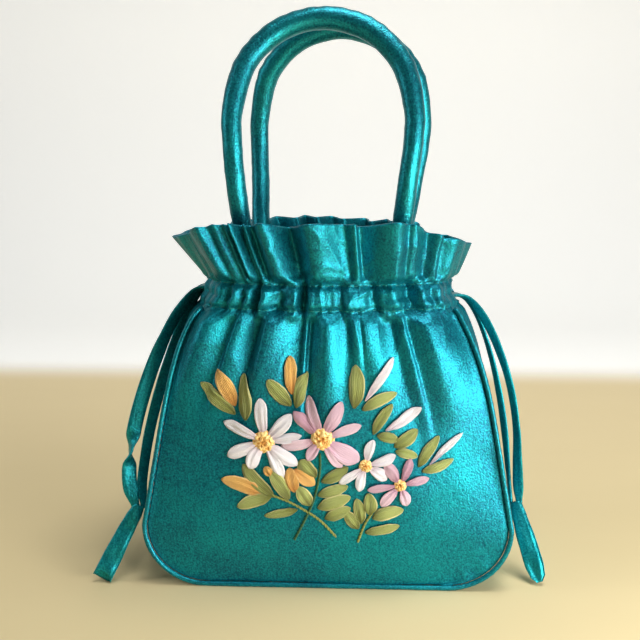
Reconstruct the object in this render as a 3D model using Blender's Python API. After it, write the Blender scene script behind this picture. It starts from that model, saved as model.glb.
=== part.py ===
# Satin potli bag with padded loop handles, two side drawstrings and a ribbon-embroidered front.
#
# The bag stands on its flat base. Its origin is the centre of that base, its front faces -Y,
# +X is to the right and +Z is up. All sizes are in metres.
#
# The front and back panels run from the base up through the gathered casing to the ruffle's top.
# A gusset joins them round the sides and the base, and a piping covers each seam.
# The drawstrings lie in the channel between the casing and the lining and leave by the side slits.

import math

import bpy
import bmesh
from mathutils import Vector

# Cloth and clearances
CLOTH = 0.0011
LINING_CLOTH = 0.0008
GAP = 0.0003
LINING_EASE = 0.0005
PIPING_RADIUS = 0.0013

# Levels, from the base up
SEAM_LIFT = 0.0025
WIDEST_LEVEL = 0.034
GATHER_START = 0.100
CASING_LOW = 0.151
CASING_HIGH = 0.165
RUFFLE_HEIGHT = 0.032

# Body, measured at the seams between panels and gusset
BASE_HALF_WIDTH = 0.0972
BASE_HALF_DEPTH = 0.040
CORNER_WIDTH = 0.032
NECK_HALF_WIDTH = 0.062
NECK_HALF_DEPTH = 0.024
SLOPE_SHARE = 0.62
NECK_CURL = 6

# How far the cloth stands out beyond its seams
FRONT_BULGE = 0.009
NECK_FRONT_BULGE = 0.018
FRONT_BULGE_RISE = 0.060
BULGE_POWER = 2.2
BASE_FLAT_SHARE = 0.67
SIDE_BULGE = 0.003
NECK_SIDE_BULGE = 0.006
CASING_PUFF = 0.0012

# Ruffle above the casing
RUFFLE_FLARE_X = 0.016
RUFFLE_FLARE_Y = 0.003
RUFFLE_BULGE_GAIN = 0.004
RUFFLE_DIP = 0.07
SIDE_TIP_DIP = 0.32

# Gathers
PANEL_FOLDS = 10
GUSSET_FOLDS = 2
CASING_FOLD = 0.0022
RUFFLE_FOLD = 0.0050
FOLD_WANDER = 0.022

# Side slits for the drawstrings, as a share of the gusset's half-width
SLIT_SHARE = 0.35

# Drawstrings and their end tabs
STRAND_DIAMETER = 0.0036
LEFT_RING_LEVEL = 0.1610
RIGHT_RING_LEVEL = 0.1555
STRAND_STEP = 0.0106
TAB_NECK_WIDTH = 0.0078
TAB_WIDTH = 0.0128
TAB_THICKNESS = 0.0030

# Handles
HANDLE_DIAMETER = 0.0115
HANDLE_FOOT_DIAMETER = 0.0074
HANDLE_FOOT_X = 0.0395
HANDLE_LEG_X = 0.0462
HANDLE_TOP = 0.300
HANDLE_SHOULDER = 0.254
HANDLE_LEAN_Y = 0.0290
BACK_HANDLE_SWAY = 0.006
HANDLE_TOP_Y = 0.0150
HANDLE_TAPER = 0.018
HANDLE_STEP = 0.011

# Embroidery
STITCH_HEIGHT = 0.0010
STEM_DIAMETER = 0.0014
LEAF_WIDTH = 0.0074
ORANGE_WIDTH = 0.0076
BUD_WIDTH = 0.0056
KNOT_HEIGHT = 0.0022
KNOT_RADIUS = 0.0056
PETAL_WIDTH = 0.0070
HUB_RADIUS = 0.0040
SMALL_KNOT_RADIUS = 0.0031
SMALL_PETAL_WIDTH = 0.0056
SMALL_HUB_RADIUS = 0.0026

# Mesh steps
COARSE_COLUMNS = 10
FINE_COLUMNS = 40
LINING_COLUMNS = 6
CORNER_STEPS = 6
GUSSET_COLUMNS = (-1, -BASE_FLAT_SHARE, -SLIT_SHARE, 0, SLIT_SHARE, BASE_FLAT_SHARE, 1)

# Colours, linear
TEAL = (0.004, 0.215, 0.205)
TEAL_DEEP = (0.004, 0.150, 0.155)
TEAL_LINING = (0.006, 0.120, 0.125)
OLIVE = (0.215, 0.230, 0.035)
ORANGE = (0.800, 0.400, 0.110)
WHITE = (0.850, 0.820, 0.850)
PINK = (0.640, 0.350, 0.480)
YELLOW = (0.760, 0.450, 0.100)

RUFFLE_TOP = CASING_HIGH + RUFFLE_HEIGHT
CASING_MIDDLE = (CASING_LOW + CASING_HIGH) / 2


# Small tools

def clamp(value, low=0.0, high=1.0):
    return max(low, min(high, value))


def mix(a, b, share):
    return a + (b - a) * share


def clear_scene():
    for item in list(bpy.data.objects):
        bpy.data.objects.remove(item, do_unlink=True)


def add_material(item, colour, roughness, metallic=0.0):
    finish = bpy.data.materials.new(item.name)
    finish.use_nodes = True
    shader = finish.node_tree.nodes["Principled BSDF"]
    shader.inputs["Base Color"].default_value = (*colour, 1.0)
    shader.inputs["Roughness"].default_value = roughness
    shader.inputs["Metallic"].default_value = metallic
    item.data.materials.append(finish)


def add_object(name, mesh, sharp_angle=60):
    mesh.shade_smooth()
    mesh.set_sharp_from_angle(angle=math.radians(sharp_angle))
    item = bpy.data.objects.new(name, mesh)
    bpy.context.collection.objects.link(item)
    return item


def add_solid(name, shape):
    """Turn a closed bmesh into an object with its faces pointing out."""
    bmesh.ops.recalc_face_normals(shape, faces=shape.faces)
    mesh = bpy.data.meshes.new(name)
    shape.to_mesh(mesh)
    shape.free()
    return add_object(name, mesh)


def add_sheet(name, sheet, out, thickness):
    """A cloth piece from its outer faces: its furthest face along out shows which side that is."""
    bmesh.ops.recalc_face_normals(sheet, faces=sheet.faces)
    far = max(sheet.faces, key=lambda face: face.calc_center_median().dot(out))
    if far.normal.dot(out) < 0:
        bmesh.ops.reverse_faces(sheet, faces=sheet.faces)
    mesh = bpy.data.meshes.new(name)
    sheet.to_mesh(mesh)
    sheet.free()
    item = add_object(name, mesh, 70)
    layer = item.modifiers.new("cloth", "SOLIDIFY")
    layer.thickness = thickness
    layer.offset = -1
    layer.use_even_offset = True
    return item


def smooth_path(points, step):
    """Points about one step apart on a smooth curve through the given points."""
    chain = [2 * points[0] - points[1]] + list(points) + [2 * points[-1] - points[-2]]
    path = [points[0].copy()]
    for i in range(1, len(chain) - 2):
        before, start, end, after = chain[i - 1:i + 3]
        parts = max(1, round((end - start).length / step))
        for j in range(1, parts + 1):
            t = j / parts
            path.append(0.5 * (2 * start + (end - before) * t
                               + (2 * before - 5 * start + 4 * end - after) * t ** 2
                               + (3 * start - before - 3 * end + after) * t ** 3))
    return path


def add_tube(name, path, radius, resolution=2, radii=None):
    """A round tube with closed ends along a path, with a radius for each point if given."""
    curve = bpy.data.curves.new(name, "CURVE")
    curve.dimensions = "3D"
    curve.bevel_depth = radius
    curve.bevel_resolution = resolution
    curve.use_fill_caps = True
    line = curve.splines.new("POLY")
    line.points.add(len(path) - 1)
    for i, place in enumerate(path):
        line.points[i].co = (*place, 1.0)
        line.points[i].radius = radii[i] / radius if radii else 1.0
    line.use_smooth = True
    item = bpy.data.objects.new(name, curve)
    bpy.context.collection.objects.link(item)
    return item


# The body's shape, as functions of the height z

def neck_pull(z):
    """Share of the way from the widest level to the drawn neck."""
    t = clamp((z - WIDEST_LEVEL) / (CASING_MIDDLE - WIDEST_LEVEL))
    return SLOPE_SHARE * t + (1 - SLOPE_SHARE) * t ** NECK_CURL


def ruffle_share(z):
    return clamp((z - CASING_HIGH) / RUFFLE_HEIGHT)


def seam_half_width(z):
    if z < WIDEST_LEVEL:
        rise = clamp((WIDEST_LEVEL - z) / (WIDEST_LEVEL - SEAM_LIFT))
        return BASE_HALF_WIDTH - CORNER_WIDTH * (1 - math.sqrt(1 - rise ** 2))
    return mix(BASE_HALF_WIDTH, NECK_HALF_WIDTH, neck_pull(z)) + RUFFLE_FLARE_X * ruffle_share(z)


def seam_half_depth(z):
    return mix(BASE_HALF_DEPTH, NECK_HALF_DEPTH, neck_pull(z)) + RUFFLE_FLARE_Y * ruffle_share(z)


def casing_puff(z):
    away = (z - CASING_MIDDLE) / (CASING_HIGH - CASING_MIDDLE)
    return CASING_PUFF * clamp(1 - away ** 2)


def front_bulge(z):
    rise = clamp(z / FRONT_BULGE_RISE)
    low = FRONT_BULGE * (1 - (1 - rise) ** 2)
    return mix(low, NECK_FRONT_BULGE, neck_pull(z)) + RUFFLE_BULGE_GAIN * ruffle_share(z)


def side_bulge(z):
    return mix(SIDE_BULGE, NECK_SIDE_BULGE, neck_pull(z))


def fold_size(z):
    """Half the height of the gathers."""
    if z > CASING_HIGH:
        return mix(CASING_FOLD, RUFFLE_FOLD, ruffle_share(z))
    return CASING_FOLD * clamp((z - GATHER_START) / (CASING_MIDDLE - GATHER_START)) ** 3


def outward(x, y, z):
    """Level direction away from the bag's axis, square to its rounded section."""
    wide = seam_half_width(z) + side_bulge(z)
    deep = seam_half_depth(z) + front_bulge(z)
    return Vector((x / wide ** 2, y / deep ** 2, 0)).normalized()


def panel_fold(u):
    wander = FOLD_WANDER * (math.sin(math.tau * u) + 0.6 * math.sin(3 * math.pi * u))
    return math.cos(math.pi * PANEL_FOLDS * (u + 1 + wander))


def gusset_fold(w):
    return math.cos(math.pi * GUSSET_FOLDS * (w + 1))


def panel_base(side, u, z):
    """Point on a panel's outer face before gathers: u runs from -1 to 1 between the seams."""
    x = seam_half_width(z) * u
    y = seam_half_depth(z) + front_bulge(z) * (1 - abs(u) ** BULGE_POWER)
    return Vector((x, side * y, z))


def panel_point(side, u, z):
    place = panel_base(side, u, z)
    reach = fold_size(z) * panel_fold(u) + casing_puff(z)
    place += outward(place.x, place.y, z) * reach
    place.z -= ruffle_share(z) * RUFFLE_HEIGHT * RUFFLE_DIP * (1 - panel_fold(u)) / 2
    return place


def gusset_point(side, w, z):
    """Point on a side of the gusset: w runs from -1 at the front seam to 1 at the back seam."""
    round_share = clamp((z - SEAM_LIFT) / (WIDEST_LEVEL - SEAM_LIFT))
    stand = mix(base_profile(w), 1 - w ** 2, round_share)
    rise = clamp((WIDEST_LEVEL - z) / (WIDEST_LEVEL - SEAM_LIFT))
    lean = Vector((math.sqrt(1 - rise ** 2), 0, -rise))
    bulge = mix(SEAM_LIFT, side_bulge(z), round_share) * stand
    y = w * (seam_half_depth(z) - CLOTH - GAP)
    place = Vector((seam_half_width(z), y, z)) + lean * bulge
    reach = fold_size(z) * gusset_fold(w) + casing_puff(z)
    place += outward(place.x, place.y, z) * reach
    place.z -= ruffle_share(z) * RUFFLE_HEIGHT * SIDE_TIP_DIP * (1 - w ** 2)
    place.x *= side
    return place


def base_profile(w):
    """The base is flat in the middle and rises to the seams at its long edges."""
    return 1 - clamp((abs(w) - BASE_FLAT_SHARE) / (1 - BASE_FLAT_SHARE))


def corner_levels():
    """Heights of the rows round a bottom corner, evenly spaced along its curve."""
    turn = [math.pi / 2 * i / CORNER_STEPS for i in range(CORNER_STEPS)]
    return [WIDEST_LEVEL - (WIDEST_LEVEL - SEAM_LIFT) * math.cos(a) for a in turn]


def side_levels():
    """Heights of the coarse rows up to the start of the gathers."""
    return [mix(WIDEST_LEVEL, GATHER_START, i / 3) for i in range(4)]


def gathered_levels():
    rise = [mix(GATHER_START, CASING_LOW, share) for share in (0.45, 0.78)]
    flare = [mix(CASING_HIGH, RUFFLE_TOP, share) for share in (0.2, 0.45, 0.72, 1.0)]
    return rise + [CASING_LOW, CASING_MIDDLE, CASING_HIGH] + flare


# Cloth pieces

def make_panel(name, side):
    sheet = bmesh.new()
    rows = []
    for z in corner_levels() + side_levels():
        rows.append([sheet.verts.new(panel_point(side, 2 * i / COARSE_COLUMNS - 1, z))
                     for i in range(COARSE_COLUMNS + 1)])
    for low, high in zip(rows, rows[1:]):
        for i in range(COARSE_COLUMNS):
            sheet.faces.new((low[i], low[i + 1], high[i + 1], high[i]))
    fine = []
    for z in gathered_levels():
        fine.append([sheet.verts.new(panel_point(side, 2 * i / FINE_COLUMNS - 1, z))
                     for i in range(FINE_COLUMNS + 1)])
    ratio = FINE_COLUMNS // COARSE_COLUMNS
    for i in range(COARSE_COLUMNS):
        upper = fine[0][i * ratio:(i + 1) * ratio + 1]
        sheet.faces.new([rows[-1][i], rows[-1][i + 1]] + upper[::-1])
    for low, high in zip(fine, fine[1:]):
        for i in range(FINE_COLUMNS):
            sheet.faces.new((low[i], low[i + 1], high[i + 1], high[i]))
    item = add_sheet(name, sheet, Vector((0, side, 0)), CLOTH)
    add_material(item, TEAL, 0.34)
    return item


def make_gusset(name):
    levels = (corner_levels() + side_levels() + gathered_levels())[::-1]
    sheet = bmesh.new()
    rows = [[sheet.verts.new(gusset_point(-1, w, z)) for w in GUSSET_COLUMNS] for z in levels]
    for share in (-0.5, 0, 0.5):
        row = []
        for w in GUSSET_COLUMNS:
            edge = gusset_point(1, w, SEAM_LIFT)
            edge.x *= share
            row.append(sheet.verts.new(edge))
        rows.append(row)
    rows += [[sheet.verts.new(gusset_point(1, w, z)) for w in GUSSET_COLUMNS] for z in levels[::-1]]
    slit_rows = [levels.index(CASING_HIGH), levels.index(CASING_MIDDLE)]
    slit_rows += [len(rows) - 2 - i for i in slit_rows]
    slit_columns = [i for i, w in enumerate(GUSSET_COLUMNS) if -SLIT_SHARE <= w < SLIT_SHARE]
    for i, (high, low) in enumerate(zip(rows, rows[1:])):
        for j in range(len(GUSSET_COLUMNS) - 1):
            if i in slit_rows and j in slit_columns:
                continue
            sheet.faces.new((high[j], high[j + 1], low[j + 1], low[j]))
    item = add_sheet(name, sheet, Vector((0, 0, -1)), CLOTH)
    add_material(item, TEAL, 0.34)
    return item


def lining_inset(z):
    """Distance of the lining's outer face inside the bag's seams."""
    inset = CLOTH + GAP + LINING_EASE + 1.25 * fold_size(z)
    if CASING_LOW <= z <= CASING_HIGH:
        inset += STRAND_DIAMETER + 2 * GAP + LINING_EASE
    return inset


def lining_loop(z, half_width, half_depth, bulge_y, bulge_x):
    """One closed row of the lining: front, right side, back, left side."""
    shares = [2 * i / LINING_COLUMNS - 1 for i in range(LINING_COLUMNS + 1)]
    front = [Vector((half_width * u, -half_depth - bulge_y * (1 - abs(u) ** BULGE_POWER), z))
             for u in shares]
    back = [Vector((-place.x, -place.y, z)) for place in front]
    return front + [Vector((half_width + bulge_x, 0, z))] + back + [Vector((-half_width - bulge_x, 0, z))]


def lining_rows():
    inset = lining_inset(SEAM_LIFT)
    pan_level = CLOTH + GAP
    flat_width = BASE_HALF_WIDTH - CORNER_WIDTH
    flat_depth = BASE_FLAT_SHARE * (BASE_HALF_DEPTH - CLOTH - GAP) - LINING_EASE
    rows = [lining_loop(pan_level, flat_width - CLOTH, flat_depth, 0, 0)]
    for i in range(3):
        turn = math.pi / 2 * i / 3
        z = WIDEST_LEVEL - (WIDEST_LEVEL - SEAM_LIFT - inset) * math.cos(turn)
        width = flat_width + (CORNER_WIDTH - inset) * math.sin(turn)
        rows.append(lining_loop(z, width, BASE_HALF_DEPTH - inset, front_bulge(z), 0))
    rise = [mix(WIDEST_LEVEL, GATHER_START, share) for share in (0, 0.7)]
    rise += [mix(GATHER_START, CASING_LOW, share) for share in (0.3, 0.85)]
    top = CASING_HIGH + STRAND_DIAMETER
    for z in rise + [CASING_LOW, CASING_MIDDLE, CASING_HIGH, top]:
        inset = lining_inset(z)
        rows.append(lining_loop(z, seam_half_width(z) - inset, seam_half_depth(z) - inset,
                                front_bulge(z), side_bulge(z)))
    return rows


def make_lining(name):
    sheet = bmesh.new()
    rows = [[sheet.verts.new(place) for place in row] for row in lining_rows()]
    sheet.faces.new(rows[0])
    for low, high in zip(rows, rows[1:]):
        for i in range(len(low)):
            j = (i + 1) % len(low)
            sheet.faces.new((low[i], low[j], high[j], high[i]))
    item = add_sheet(name, sheet, Vector((0, 0, -1)), LINING_CLOTH)
    add_material(item, TEAL_LINING, 0.45)
    return item


def make_piping(name, side):
    """A cord in its own cloth along one seam, from one end of the casing to the other."""
    levels = [z for z in corner_levels() + side_levels() + gathered_levels() if z <= CASING_LOW]
    reach = PIPING_RADIUS + GAP
    right = []
    for z in levels:
        rise = clamp((WIDEST_LEVEL - z) / (WIDEST_LEVEL - SEAM_LIFT))
        lean = Vector((math.sqrt(1 - rise ** 2), side, -rise)).normalized()
        right.append(panel_point(side, 1, z) + lean * reach)
    left = [Vector((-place.x, place.y, place.z)) for place in right]
    item = add_tube(name, left[::-1] + right, PIPING_RADIUS, resolution=1)
    add_material(item, TEAL_DEEP, 0.38)
    return item


# Handles and drawstrings

def lining_depth(x, z):
    """Half the depth between the inner faces of the lining's front and back, along its flat facets."""
    inset = lining_inset(z)
    column = abs(x) / (seam_half_width(z) - inset) * LINING_COLUMNS / 2
    ends = [math.floor(column), math.floor(column) + 1]
    depths = [front_bulge(z) * (1 - abs(2 * end / LINING_COLUMNS) ** BULGE_POWER) for end in ends]
    facet_slope = (depths[1] - depths[0]) * LINING_COLUMNS / 2 / (seam_half_width(z) - inset)
    wall = seam_half_depth(z) - inset + mix(depths[0], depths[1], column - ends[0])
    return wall - LINING_CLOTH * math.hypot(1, facet_slope)


def seat_in_lining(x, z, radius):
    """Distance from the middle plane at which a round piece just rests against the lining."""
    turns = [math.pi * i / 12 for i in range(13)]
    return min(lining_depth(x + radius * math.cos(a), z) - radius * math.sin(a) for a in turns) - GAP


def make_handle(name, side, sway=0.0):
    """A padded loop with both feet sewn against the inside of the casing, its arch swayed to one side."""
    foot_radius = HANDLE_FOOT_DIAMETER / 2
    foot_y = seat_in_lining(HANDLE_FOOT_X, CASING_MIDDLE, foot_radius)
    arch = HANDLE_TOP - HANDLE_SHOULDER
    foot_top = CASING_HIGH + STRAND_DIAMETER
    leg = [(HANDLE_FOOT_X, foot_y, CASING_LOW + GAP),
           (HANDLE_FOOT_X, foot_y, CASING_MIDDLE),
           (HANDLE_FOOT_X, foot_y, foot_top)]
    for level, out_share, lean_share in ((0.22, 0.25, 0.35), (0.50, 0.65, 0.85), (0.80, 1.0, 1.0)):
        leg.append((mix(HANDLE_FOOT_X, HANDLE_LEG_X, out_share), mix(foot_y, HANDLE_LEAN_Y, lean_share),
                    mix(foot_top, HANDLE_SHOULDER, level)))
    for turn in (0, 30, 60):
        share = math.sin(math.radians(turn))
        leg.append((HANDLE_LEG_X * math.cos(math.radians(turn)),
                    mix(mix(HANDLE_LEAN_Y, HANDLE_TOP_Y, 0.15), HANDLE_TOP_Y, share),
                    HANDLE_SHOULDER + arch * share))
    right = [Vector((x, side * y, z)) for x, y, z in leg]
    top = Vector((0, side * HANDLE_TOP_Y, HANDLE_TOP))
    left = [Vector((-place.x, place.y, place.z)) for place in right]
    route = left + [top] + right[::-1]
    for place in route:
        place.x += sway * clamp((place.z - foot_top) / (HANDLE_SHOULDER - foot_top))
    path = smooth_path(route, HANDLE_STEP)
    radii = []
    for place in path:
        share = clamp((place.z - foot_top) / HANDLE_TAPER)
        radii.append(mix(foot_radius, HANDLE_DIAMETER / 2, share * share * (3 - 2 * share)))
    item = add_tube(name, path, HANDLE_DIAMETER / 2, radii=radii)
    add_material(item, TEAL, 0.32)
    return item


def channel_point(side, u, level):
    """Middle of the drawstring channel behind the casing, over one panel."""
    place = panel_base(side, u, level)
    inset = fold_size(level) + CLOTH + GAP + STRAND_DIAMETER / 2 + LINING_EASE / 2
    return place - outward(place.x, place.y, level) * inset


# Each strand's route outside the bag, from its side slit down to its tab
LEFT_FRONT_STRAND = [(-0.0650, -0.0026, 0.1610), (-0.0742, -0.0030, 0.1588), (-0.0825, -0.0060, 0.1478),
                     (-0.0903, -0.0105, 0.1310), (-0.0975, -0.0150, 0.1120), (-0.1035, -0.0195, 0.0900),
                     (-0.1075, -0.0235, 0.0700), (-0.1078, -0.0275, 0.0540), (-0.1050, -0.0305, 0.0400)]
LEFT_BACK_STRAND = [(-0.0650, 0.0026, 0.1610), (-0.0742, 0.0022, 0.1578), (-0.0815, -0.0002, 0.1440),
                    (-0.0882, -0.0045, 0.1230), (-0.0938, -0.0090, 0.1020), (-0.0985, -0.0140, 0.0800),
                    (-0.1015, -0.0195, 0.0610), (-0.1022, -0.0240, 0.0500), (-0.1010, -0.0282, 0.0385)]
RIGHT_FRONT_STRAND = [(0.0650, -0.0026, 0.1555), (0.0752, -0.0030, 0.1548), (0.0827, -0.0050, 0.1470),
                      (0.0900, -0.0080, 0.1280), (0.0968, -0.0105, 0.1060), (0.1020, -0.0115, 0.0830),
                      (0.1050, -0.0105, 0.0620), (0.1068, -0.0100, 0.0480), (0.1078, -0.0108, 0.0375)]
RIGHT_BACK_STRAND = [(0.0650, 0.0026, 0.1555), (0.0750, 0.0028, 0.1545), (0.0820, 0.0032, 0.1440),
                     (0.0885, 0.0024, 0.1210), (0.0940, 0.0008, 0.0970), (0.0982, -0.0014, 0.0760),
                     (0.1010, -0.0036, 0.0580), (0.1026, -0.0056, 0.0460), (0.1040, -0.0086, 0.0365)]
LEFT_TAB_END = (-0.1240, -0.0400, 0.0002)
RIGHT_TAB_END = (0.1165, -0.0335, 0.0002)


def make_drawstring(name, side, level, front_strand, back_strand):
    """One strap: down one strand, once round the channel and back down the other."""
    shares = (-0.9, -0.6, -0.3, 0, 0.3, 0.6, 0.9)
    front = [channel_point(-1, u * side, level) for u in shares]
    back = [channel_point(1, -u * side, level) for u in shares]
    far = seam_half_width(level) + side_bulge(level) - fold_size(level) - CLOTH - GAP - STRAND_DIAMETER / 2
    turn = [Vector((-side * far, 0, level))]
    route = [Vector(place) for place in front_strand[::-1]]
    route += front[::-1] + turn + back[::-1]
    route += [Vector(place) for place in back_strand]
    path = smooth_path(route, STRAND_STEP)
    item = add_tube(name, path, STRAND_DIAMETER / 2)
    add_material(item, TEAL_DEEP, 0.36)
    return item


def make_tab(name, front_strand, back_strand, end):
    """The folded tab sewn over the ends of one drawstring."""
    ends = (Vector(front_strand[-1]), Vector(back_strand[-1]))
    before = (Vector(front_strand[-2]), Vector(back_strand[-2]))
    run = ((ends[0] - before[0]) + (ends[1] - before[1])).normalized()
    start = (ends[0] + ends[1]) / 2 + run * (GAP + STRAND_DIAMETER * 0.4)
    along = (Vector(end) - start).normalized()
    across = (ends[0] - ends[1]).normalized()
    across = (across - along * across.dot(along)).normalized()
    length = (Vector(end) - start).length
    level_across = Vector((-along.y, along.x, 0)).normalized()
    if level_across.dot(across) < 0:
        level_across.negate()
    stations = ((0, TAB_NECK_WIDTH, 1.0), (0.25, TAB_NECK_WIDTH * 1.1, 1.0), (0.55, TAB_WIDTH * 0.85, 0.9),
                (0.82, TAB_WIDTH, 0.8), (0.96, TAB_WIDTH * 0.7, 0.6))
    sheet = bmesh.new()
    loops = []
    for share, width, fullness in stations:
        wide = across.lerp(level_across, share).normalized()
        thick = along.cross(wide).normalized()
        middle = start + along * length * share
        half = TAB_THICKNESS / 2 * fullness
        loop = []
        for i in range(8):
            turn = math.tau * i / 8
            loop.append(sheet.verts.new(middle + wide * math.cos(turn) * width / 2
                                        + thick * math.sin(turn) * half))
        loops.append(loop)
    for low, high in zip(loops, loops[1:]):
        for i in range(8):
            j = (i + 1) % 8
            sheet.faces.new((low[i], low[j], high[j], high[i]))
    sheet.faces.new(loops[0])
    sheet.faces.new(loops[-1])
    item = add_solid(name, sheet)
    add_material(item, TEAL, 0.34)
    return item


# Embroidery: places are x and z on the front panel, angles are in degrees from +X

STATIONS = ((0.0, 0.26), (0.22, 0.84), (0.5, 1.0), (0.8, 0.66))
SEWN = []


def on_panel(x, z, height):
    """Point on the front panel at a height above its cloth."""
    step = 0.0005
    u = x / seam_half_width(z)
    place = panel_point(-1, u, z)
    across = panel_point(-1, (x + step) / seam_half_width(z), z) - place
    rise = panel_point(-1, x / seam_half_width(z + step), z + step) - place
    normal = across.cross(rise).normalized()
    return place + normal * height


def stitch_outline(place, angle, head, tail, width):
    """Flat outline of one ribbon stitch between two distances from its root."""
    along = (math.cos(math.radians(angle)), math.sin(math.radians(angle)))
    left, right = [], []
    for share, girth in STATIONS:
        reach = mix(head, tail, share)
        half = width * girth / 2 + GAP
        x = place[0] + along[0] * reach
        z = place[1] + along[1] * reach
        left.append((x - along[1] * half, z + along[0] * half))
        right.append((x + along[1] * half, z - along[0] * half))
    tip = (place[0] + along[0] * (tail + GAP), place[1] + along[1] * (tail + GAP))
    return left + [tip] + right[::-1]


def outlines_meet(a, b):
    """True when two convex outlines overlap."""
    for shape in (a, b):
        for (x0, z0), (x1, z1) in zip(shape, shape[1:] + shape[:1]):
            nx, nz = z1 - z0, x0 - x1
            low_a = min(x * nx + z * nz for x, z in a)
            high_a = max(x * nx + z * nz for x, z in a)
            low_b = min(x * nx + z * nz for x, z in b)
            high_b = max(x * nx + z * nz for x, z in b)
            if high_a < low_b or high_b < low_a:
                return False
    return True


def fit_stitch(owner, place, angle, length, width, head=0.0, free_root=False):
    """Shorten a stitch until it lies clear of the other pieces already sewn, and note it."""
    for lost in range(16):
        for from_root in range(lost + 1 if free_root else 1):
            start = head + from_root * 0.05 * length
            end = length * (1 - 0.05 * (lost - from_root))
            outline = stitch_outline(place, angle, start, end, width)
            if not any(outlines_meet(outline, other) for name, other in SEWN if name != owner):
                SEWN.append((owner, outline))
                return start, end
    return head, head + 0.25 * length


def add_stitch(sheet, place, angle, head, tail, width, root=None):
    """One ribbon stitch: thin at its edges and raised along its middle."""
    along = Vector((math.cos(math.radians(angle)), math.sin(math.radians(angle))))
    side = Vector((-along.y, along.x))
    rows = [root] if root else []
    for share, girth in STATIONS[1 if root else 0:]:
        middle = Vector(place) + along * mix(head, tail, share)
        left = middle + side * width * girth / 2
        right = middle - side * width * girth / 2
        rows.append([sheet.verts.new(on_panel(*left, GAP)),
                     sheet.verts.new(on_panel(*middle, GAP + STITCH_HEIGHT * mix(0.6, 1, girth))),
                     sheet.verts.new(on_panel(*right, GAP))])
    tip = sheet.verts.new(on_panel(*(Vector(place) + along * tail), GAP + STITCH_HEIGHT * 0.2))
    for low, high in zip(rows, rows[1:]):
        for i in range(3):
            j = (i + 1) % 3
            sheet.faces.new((low[i], low[j], high[j], high[i]))
    for i in range(3):
        sheet.faces.new((rows[-1][i], rows[-1][(i + 1) % 3], tip))
    if not root:
        sheet.faces.new(rows[0])


def make_ribbon(name, place, angle, length, width, colour):
    head, tail = fit_stitch(name, place, angle, length, width, free_root=True)
    sheet = bmesh.new()
    add_stitch(sheet, place, angle, head, tail, width)
    item = add_solid(name, sheet)
    add_material(item, colour, 0.4)
    return item


def make_flower(name, centre, hub, width, petals, colour):
    """Petals given as (angle, length), joined by the small hub that their knots make."""
    sheet = bmesh.new()
    top = sheet.verts.new(on_panel(*centre, GAP + STITCH_HEIGHT))
    under = sheet.verts.new(on_panel(*centre, GAP))
    ring = []
    half_turn = math.degrees(0.5 * width * STATIONS[0][1] / hub)
    for angle, length in sorted(petals):
        head, tail = fit_stitch(name, centre, angle, length, width, head=hub)
        edge = []
        for turn, height in ((half_turn, 0), (0, STITCH_HEIGHT * 0.8), (-half_turn, 0)):
            a = math.radians(angle + turn)
            spot = (centre[0] + hub * math.cos(a), centre[1] + hub * math.sin(a))
            edge.append(sheet.verts.new(on_panel(*spot, GAP + height)))
        add_stitch(sheet, centre, angle, head, tail, width, root=edge)
        ring.append(edge)
    for edge, following in zip(ring, ring[1:] + ring[:1]):
        left, ridge, right = edge
        for pair in ((right, ridge), (ridge, left), (left, following[2])):
            sheet.faces.new((pair[0], pair[1], top))
        sheet.faces.new((right, left, under))
        sheet.faces.new((left, following[2], under))
    item = add_solid(name, sheet)
    add_material(item, colour, 0.4)
    return item


def make_knot(name, centre, radius):
    """The domed cluster of knots at a flower's centre."""
    sheet = bmesh.new()
    foot = 2 * GAP + STITCH_HEIGHT
    loops = []
    for share, rise in ((0.92, 0), (1.0, 0.35), (0.6, 0.88)):
        loop = []
        for i in range(10):
            turn = math.tau * i / 10
            spot = (centre[0] + radius * share * math.cos(turn), centre[1] + radius * share * math.sin(turn))
            loop.append(sheet.verts.new(on_panel(*spot, foot + KNOT_HEIGHT * rise)))
        loops.append(loop)
    for low, high in zip(loops, loops[1:]):
        for i in range(10):
            j = (i + 1) % 10
            sheet.faces.new((low[i], low[j], high[j], high[i]))
    top = sheet.verts.new(on_panel(*centre, foot + KNOT_HEIGHT))
    under = sheet.verts.new(on_panel(*centre, foot))
    for i in range(10):
        j = (i + 1) % 10
        sheet.faces.new((loops[-1][i], loops[-1][j], top))
        sheet.faces.new((loops[0][j], loops[0][i], under))
    item = add_solid(name, sheet)
    add_material(item, YELLOW, 0.5)
    return item


def fuse(name, pieces, colour):
    """Join solids that cross each other into one."""
    base = pieces[0]
    for other in pieces[1:]:
        join = base.modifiers.new("join", "BOOLEAN")
        join.operation = "UNION"
        join.solver = "EXACT"
        join.object = other
    shape = base.evaluated_get(bpy.context.evaluated_depsgraph_get())
    mesh = bpy.data.meshes.new_from_object(shape)
    for piece in pieces:
        bpy.data.objects.remove(piece, do_unlink=True)
    mesh.materials.clear()
    item = add_object(name, mesh)
    add_material(item, colour, 0.42)
    return item


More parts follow.
